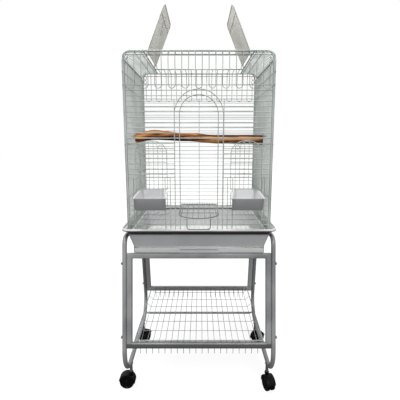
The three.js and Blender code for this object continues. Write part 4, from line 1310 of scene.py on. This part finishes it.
# %% [markdown]
# Each end of the stand is a frame of square steel tube, mitred and welded, that leans
# inward as it rises. A square tube has rounded corners, so its section is a rounded
# square, and the frame is a loft of that section round the four corners of the frame.

# %% Leaning end frames
LEAN = math.radians(9.8)
TUBE = 17
TUBE_ROUND = 2.6
LEG_Y, LEG_Z = 167, 527.5  # a point that every leaning leg's middle passes through
FRAME_HALF_X = box_mm("front_frame")[1].x
LOW_END, HIGH_END = -304.44, 9.6


def tube_frame(front):
    """A closed loop of square tube in the leaning plane of one end."""

    def lean_place(x, along, out):
        y = LEG_Y - along * math.sin(LEAN) + out * math.cos(LEAN)
        z = LEG_Z + along * math.cos(LEAN) + out * math.sin(LEAN)
        return x, front * y, z

    half = TUBE / 2
    section = rounded_rectangle(half, -half, half, TUBE_ROUND, 4)
    rings = []
    for way_x, way_along in ((-1, -1), (1, -1), (1, 1), (-1, 1)):
        x_end = FRAME_HALF_X if way_x > 0 else -FRAME_HALF_X
        along_end = HIGH_END if way_along > 0 else LOW_END
        ring = []
        for inward, out in section:
            depth = half + inward
            x, along = x_end - way_x * depth, along_end - way_along * depth
            ring.append(lean_place(x, along, out))
        rings.append(ring)
    dense = []
    for first, second in zip(rings, rings[1:] + rings[:1]):
        dense.append(first)
        for share in (0.02, 0.5, 0.98):
            pair = zip(first, second)
            dense.append([tuple(a + (b - a) * share for a, b in zip(p, q)) for p, q in pair])
    return loft("tube_frame", dense, closed=True)


# The front frame's coat carries a painted shadow along its low rail, and the rear frame's paler
# coat is painted light.
for name, way, coat in (("front", -1, front_stand_shadowed_paint), ("rear", 1, rear_stand_lit_paint)):
    piece(f"{name}_tube_frame", tube_frame(way), f"{name}_frame", coat, 50)

# %% [markdown]
# Each side of the stand is one closed loop of round tube: a short level run on top, two
# leaning legs, and a long level foot, joined by wide bends. A single cyclic strand of
# the wire tool sweeps it.

# %% Side loops
TUBE_R = 7.6
LOOP_X = (box_mm("right_loop")[0].x + box_mm("right_loop")[1].x) / 2
LEAN_DEG = math.degrees(LEAN)


def leg_y(z):
    """How far out a leg's middle is at height z."""
    return LEG_Y + (LEG_Z - z) * math.tan(LEAN)


FOOT_BEND = 85
foot_middle = box_mm("right_loop")[0].z + TUBE_R  # the height of the loop's foot
turn_back = math.tan(math.radians((90 + LEAN_DEG) / 2))
FOOT_IN = 0.7  # moves the bend a little toward the middle
foot_centre = (
    leg_y(foot_middle) - FOOT_BEND * turn_back - FOOT_IN, foot_middle + FOOT_BEND
)
TOP_BEND, TOP_BEND_Z = 30, 556
top_back = math.tan(math.radians((90 - LEAN_DEG) / 2))
top_centre = (leg_y(TOP_BEND_Z + TOP_BEND) - TOP_BEND * top_back, TOP_BEND_Z)
quarter = arc(foot_centre, FOOT_BEND, -90, LEAN_DEG, 20)
quarter += arc(top_centre, TOP_BEND, LEAN_DEG, 90, 14)
loop_path = quarter + [(-a, b) for a, b in reversed(quarter)]
for name, side in SIDES.items():
    path = in_yz(loop_path, side * LOOP_X)
    wire_piece(
        f"{name}_loop_tube", [(path, TUBE_R, True)], f"{name}_loop", 24, stand_paint
    )

# %% [markdown]
# Domed bolts with a washer fix the loops to the end frames, two on each leg. A bolt head
# is turned on a lathe: a flat washer first, then a dome with a small round socket.

# %% Bolts
SOCKET_R = 1.7


def bolt_mesh(node):
    low, high = box_mm(node)
    way = 1 if high.x > 0 else -1
    centre = (low + high) / 2
    near, far = sorted((abs(low.x), abs(high.x)))
    radius = (high.y - low.y) / 2
    dome = [(0.01, 0), (radius, 0), (radius, 0.8), (radius - 0.3, 1.0), (radius - 0.9, 1.0)]
    height = far - near
    for i in range(7):
        turn = math.radians(15 * i)
        dome.append(((radius - 0.9) * math.cos(turn), 1.0 + (height - 1.0) * math.sin(turn)))
    dome = dome[:-1] + [(SOCKET_R + 0.2, height - 0.12), (SOCKET_R, height - 0.3)]
    dome += [(SOCKET_R, height - 1.7), (0.01, height - 1.9)]
    place = (way * near, centre.y, centre.z)
    return lathe("bolt", dome, place, (way, 0, 0), 24)


bolt_nodes = [node for node in frame["nodes"] if node.endswith("_bolt")]
for node in bolt_nodes:
    piece(f"{node}_head", bolt_mesh(node), node, zinc.material, 40)

# %% [markdown]
# The shelf is a shallow tray of wire that hangs on the stand. Its rim is stout wire. Its
# depth wires run from the front rim down to the floor, back, and up again, and its cross
# wires do the same from side to side. Short ends turn down inside both lower rails.

# %% Lower shelf
shelf_low, shelf_high = box_mm("lower_shelf")
SHELF_WIRE, RIM_WIRE = 0.9, 1.8
SHELF_PITCH = 20.8
SHELF_HALF = shelf_high.x - RIM_WIRE
HOOK_Y = 206.3  # the front and rear rims, and the short ends that turn down
SHELF_Z = shelf_high.z - SHELF_WIRE
SHELF_FLOOR, FLARE = 231, 17  # height of its floor, and how far its walls spread
CROSS_WIRES = (-186, -120, -57, 0, 57, 120, 186)
SIDE_RIM_HALF = 212.4


def dish(half, floor_half, high, low):
    """Pairs from rim to floor to rim, with the corners at the floor rounded."""
    near = [(half, high), (floor_half + 2.5, low + 2.2), (floor_half + 0.6, low + 0.5)]
    near.append((floor_half - 2, low))
    return near + [(-a, b) for a, b in reversed(near)]


strands = []
for i in range(20):
    x = (i - 9.5) * SHELF_PITCH
    pairs = dish(HOOK_Y - 2, HOOK_Y - FLARE, SHELF_Z, SHELF_FLOOR)
    ends = [(HOOK_Y, shelf_low.z), (HOOK_Y, SHELF_Z - 4), (HOOK_Y - 0.5, SHELF_Z - 1)]
    path = ends + pairs + [(-a, b) for a, b in reversed(ends)]
    strands.append((in_yz(path, x), SHELF_WIRE, False))
for y in CROSS_WIRES:
    floor_z = SHELF_FLOOR - 2 * SHELF_WIRE
    pairs = dish(SHELF_HALF, SHELF_HALF - FLARE, SHELF_Z - 1, floor_z)
    strands.append((in_xz(pairs, y), SHELF_WIRE, False))
for way in (-1, 1):
    strands.append(along_x(-SHELF_HALF, SHELF_HALF, way * HOOK_Y, SHELF_Z - 0.9, RIM_WIRE))
    side_rim = along_y(
        way * SHELF_HALF, -SIDE_RIM_HALF, SIDE_RIM_HALF, SHELF_Z - 0.9, RIM_WIRE
    )
    strands.append(side_rim)
# The shelf's darker coat is painted shade.
wire_piece("shelf_wires", strands, "lower_shelf", 8, shelf_shaded_paint)

rod_low, rod_high = box_mm("rear_rod")
middle = (rod_low + rod_high) / 2
rod = along_x(rod_low.x, rod_high.x, middle.y, middle.z, (rod_high.z - rod_low.z) / 2)
wire_piece("rear_rod_bar", [rod], "rear_rod", 20, stand_paint)

# %% [markdown]
# A caster is a black hood over two wheels, on a short neck that turns in the foot tube.
# The hood is an arc section swept over the wheels. A web, a bridge and the neck carry it,
# and a steel axle runs through. All of it is drawn trailing along -X from a swivel at the
# origin, and then turned to where the packed caster points, which its wheels' axis gives.

# %% Caster housings
WHEEL_R, WHEEL_W, TRAIL = 26, 12, 15
HOOD_R, HOOD_HALF = 29.3, 16.4
NECK_TOP = foot_middle - TUBE_R - 0.3 - FLOOR_Z
HOOD_START, HOOD_SWEEP, HOOD_STEPS = -0.15, 0.93 * math.pi + 0.15, 28
hood_section = [  # across and out from the wheels' axle
    (-HOOD_HALF, 24.5), (-HOOD_HALF, 27.6), (-16.0, 28.7), (-14.4, 29.2), (-7, HOOD_R),
    (7, HOOD_R), (14.4, 29.2), (16.0, 28.7), (HOOD_HALF, 27.6), (HOOD_HALF, 24.5),
    (15.7, 24.3), (15.6, 26.7), (15.1, 27.1), (-15.1, 27.1), (-15.6, 26.7), (-15.7, 24.3),
]


def hood_ring(turn):
    cosine, sine = math.cos(turn), math.sin(turn)
    return [(r * cosine - TRAIL, across, WHEEL_R + r * sine) for across, r in hood_section]


def housing_mesh():
    """A caster's housing at the origin, as one mesh."""
    turns = [HOOD_START + HOOD_SWEEP * i / HOOD_STEPS for i in range(HOOD_STEPS + 1)]
    hood = loft("hood", [hood_ring(turn) for turn in turns])
    web_pairs = arc((-TRAIL, WHEEL_R), HOOD_R - 1.2, -28.6, 198, 30)
    web = loft("web", [in_xz(web_pairs, y) for y in (-3, 3)])
    bridge = block("bridge", (-10, -3, 40), (8, 3, 54.8), 0.8)
    socket = [(0.01, 52.8), (7.2, 52.8), (8, 53.6), (8, 60), (7.4, 61.2), (6.2, 61.8), (0.01, 61.8)]
    neck = lathe("neck", socket, (0, 0, 0), (0, 0, 1), 28)
    axle = [(0.01, -11), (3, -11), (3, 11), (0.01, 11)]
    axle = lathe("axle", axle, (-TRAIL, 0, WHEEL_R), (0, 1, 0), 20)
    return joined("housing", [hood, web, bridge, neck, axle])


def stem_mesh():
    """The steel stem between the housing and the tube, with its collar and pin."""
    collar = NECK_TOP - 2.4
    profile = [(0.01, 61), (5.4, 61), (5.4, collar - 0.6), (6, collar), (7.6, collar + 0.3)]
    profile += [(8, collar + 0.9), (8, NECK_TOP - 0.4), (7.6, NECK_TOP), (4, NECK_TOP)]
    profile += [(4, NECK_TOP + 9.4), (3.4, NECK_TOP + 10), (0.01, NECK_TOP + 10)]
    return lathe("stem", profile, (0, 0, 0), (0, 0, 1), 28)


def stand_caster(mesh, name):
    """Turns a mesh from the origin to the wheels' axis and moves it to its swivel."""
    axis = Vector(joints[f"{name}_wheel_a_spin"]["axis"])
    swivel = joints[f"{name}_swivel"]["pos_m"]
    heading = math.atan2(-axis.x, axis.y)
    mesh.transform(Matrix.Translation(-at(0, 0, 0)))
    mesh.transform(Matrix.Rotation(heading, 4, "Z"))
    mesh.transform(Matrix.Translation((swivel[0], swivel[1], 0)))
    return mesh


caster_names = [f"{side}_{end}" for side in SIDES for end in ("front", "rear")]
for name in caster_names:
    node = f"{name}_caster"
    housing = stand_caster(housing_mesh(), name)
    piece(f"{name}_housing", housing, node, black.material, 35)
    stem = stand_caster(stem_mesh(), name)
    piece(f"{name}_stem", stem, node, zinc.material, 35)

# %% [markdown]
# A caster wheel is turned on a lathe: a tread with rounded shoulders and two fine
# grooves, a dished side, and a hub cap. Its bore stops behind the cap, where the axle
# ends, so the axle never shows from outside.

# %% Caster wheels
wheel_profile = [(0.01, 9), (3.2, 9), (3.2, 0), (7.6, 0), (8.2, 0.6), (8.6, 1.8), (19.4, 1.8)]
wheel_profile += [(20.2, 0.5), (24.2, 0.3), (25.4, 0.9), (WHEEL_R, 2.2), (WHEEL_R, 4.1)]
wheel_profile += [(25.5, 4.3), (25.5, 4.7), (WHEEL_R, 4.9), (WHEEL_R, 7.1), (25.5, 7.3)]
wheel_profile += [(25.5, 7.7), (WHEEL_R, 7.9), (WHEEL_R, 9.8), (25.4, 11.1), (24.2, 11.7)]
wheel_profile += [(20.4, 11.6), (19.4, 9.9), (9.4, 9.3), (8.8, 11.0), (7.6, 11.7), (0.01, WHEEL_W)]
for name in caster_names:
    for letter, way in (("a", 1), ("b", -1)):
        spin = joints[f"{name}_wheel_{letter}_spin"]
        outward = Vector(spin["axis"]) * way
        start = millimetres(spin["pos_m"]) - outward * WHEEL_W / 2
        wheel = lathe("wheel", wheel_profile, start, outward, 48)
        node = f"{name}_wheel_{letter}"
        piece(f"{node}_tyre", wheel, node, black.material, 35)

# %% [markdown]
# The cage stands on a plain white studio floor. The floor takes the soft shadow of the
# stand, and glows a little for the camera only, so that it runs into the white backdrop
# without a line.

# %% Floor
floor_finish = Finish("studio_floor", Specular_IOR_Level=0.1, Roughness=0.9)
dust = floor_finish.cloud(3, 2)
FLOOR_PALE, FLOOR_DEEP, FLOOR_GLOW = 0.16, 0.15, 0.9


def grey(level):
    return (level, level, level, 1)


floor_shade = floor_finish.blend(dust, grey(FLOOR_PALE), grey(FLOOR_DEEP))
camera_ray = floor_finish.node("ShaderNodeLightPath", {}, {}, "Is Camera Ray")
glow = floor_finish.blend(camera_ray, grey(0), grey(FLOOR_GLOW))
floor_finish.surface(Base_Color=floor_shade, Emission_Color=glow, Emission_Strength=1.0)
bpy.ops.mesh.primitive_grid_add(x_subdivisions=8, y_subdivisions=8, size=30)
floor_sheet = bpy.context.object
floor_sheet.name = "studio_floor"
floor_sheet.data.materials.append(floor_finish.material)
floor_sheet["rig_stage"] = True
print(floor_sheet.name, "has", len(floor_sheet.data.polygons), "faces")

# %% [markdown]
# The world is white to the camera and to reflections, and a softer grey where it lights
# things. A Light Path node tells a shader what kind of ray has met it, so one world can
# be both.

# %% World
world = bpy.data.worlds.new("studio")
world.use_nodes = True
bpy.context.scene.world = world
tree = world.node_tree
tree.nodes.clear()
AMBIENT = 0.34


def world_node(kind, sources=()):
    """A node of the world, with those outputs linked to its first sockets."""
    made = tree.nodes.new(kind)
    for socket, source in zip(made.inputs, sources):
        tree.links.new(source, socket)
    return made


def either(first, second):
    """1 where one of two kinds of ray, or both, see the world."""
    made = world_node("ShaderNodeMath", [first, second])
    made.operation = "ADD"
    made.use_clamp = True
    return made.outputs[0]


def background(strength):
    made = world_node("ShaderNodeBackground")
    made.inputs["Color"].default_value = grey(1)
    made.inputs["Strength"].default_value = strength
    return made.outputs[0]


rays = world_node("ShaderNodeLightPath").outputs
seen = either(either(rays["Is Camera Ray"], rays["Is Glossy Ray"]), rays["Is Transmission Ray"])
choice = world_node("ShaderNodeMixShader", [seen, background(AMBIENT), background(1)])
world_node("ShaderNodeOutputWorld", [choice.outputs[0]])
print("ambient light", AMBIENT)

# %% [markdown]
# One lamp overhead lights the cage, and a weaker one shines down on it from the front, so
# that faces which look down stay darker. They are suns with some width, so their level
# is the same all over the object and their shadows are a little soft.

# %% Lamps
def lamp(name, strength, spread, away):
    """A sun with a width in degrees, in the direction from the object to it."""
    sun = bpy.data.lights.new(name, "SUN")
    sun.energy = strength
    sun.angle = math.radians(spread)
    holder = bpy.data.objects.new(name, sun)
    holder.rotation_mode = "QUATERNION"
    holder.rotation_quaternion = Vector(away).to_track_quat("Z", "Y")
    bpy.context.scene.collection.objects.link(holder)


lamp("key_lamp", 2.0, 18, (-0.12, -0.2, 1.0))
lamp("front_lamp", 1.15, 14, (0.12, -1.0, 0.85))
print(len(bpy.data.lights), "lamps")

# %% [markdown]
# The camera stands in front of the cage, a little above its middle, and looks down by
# about ten degrees.

# %% Camera
CAMERA_TILT = 9.76
CAMERA_PLACE = (3.4, -1230.5, 905.6)
camera_data = bpy.data.cameras.new("camera")
camera_data.sensor_width = 36
camera_data.lens = 30.16
camera_data.shift_y = -0.005
camera = bpy.data.objects.new("camera", camera_data)
camera.location = at(*CAMERA_PLACE)
camera.rotation_euler = (math.radians(90 - CAMERA_TILT), 0, 0)
bpy.context.scene.collection.objects.link(camera)
bpy.context.scene.camera = camera
bpy.context.scene.view_settings.view_transform = "Standard"
print("camera at", [round(part, 3) for part in camera.location])

# %% [markdown]
# Last, the sizes of the finished model and of the packed one are printed.

# %% Print both sizes
visual_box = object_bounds()
sizes = {
    "cad": [list(corner) for corner in cad_box],
    "visual": [list(corner) for corner in visual_box],
}
for label, (low, high) in sizes.items():
    print(label, [round(part, 4) for part in low], [round(part, 4) for part in high])
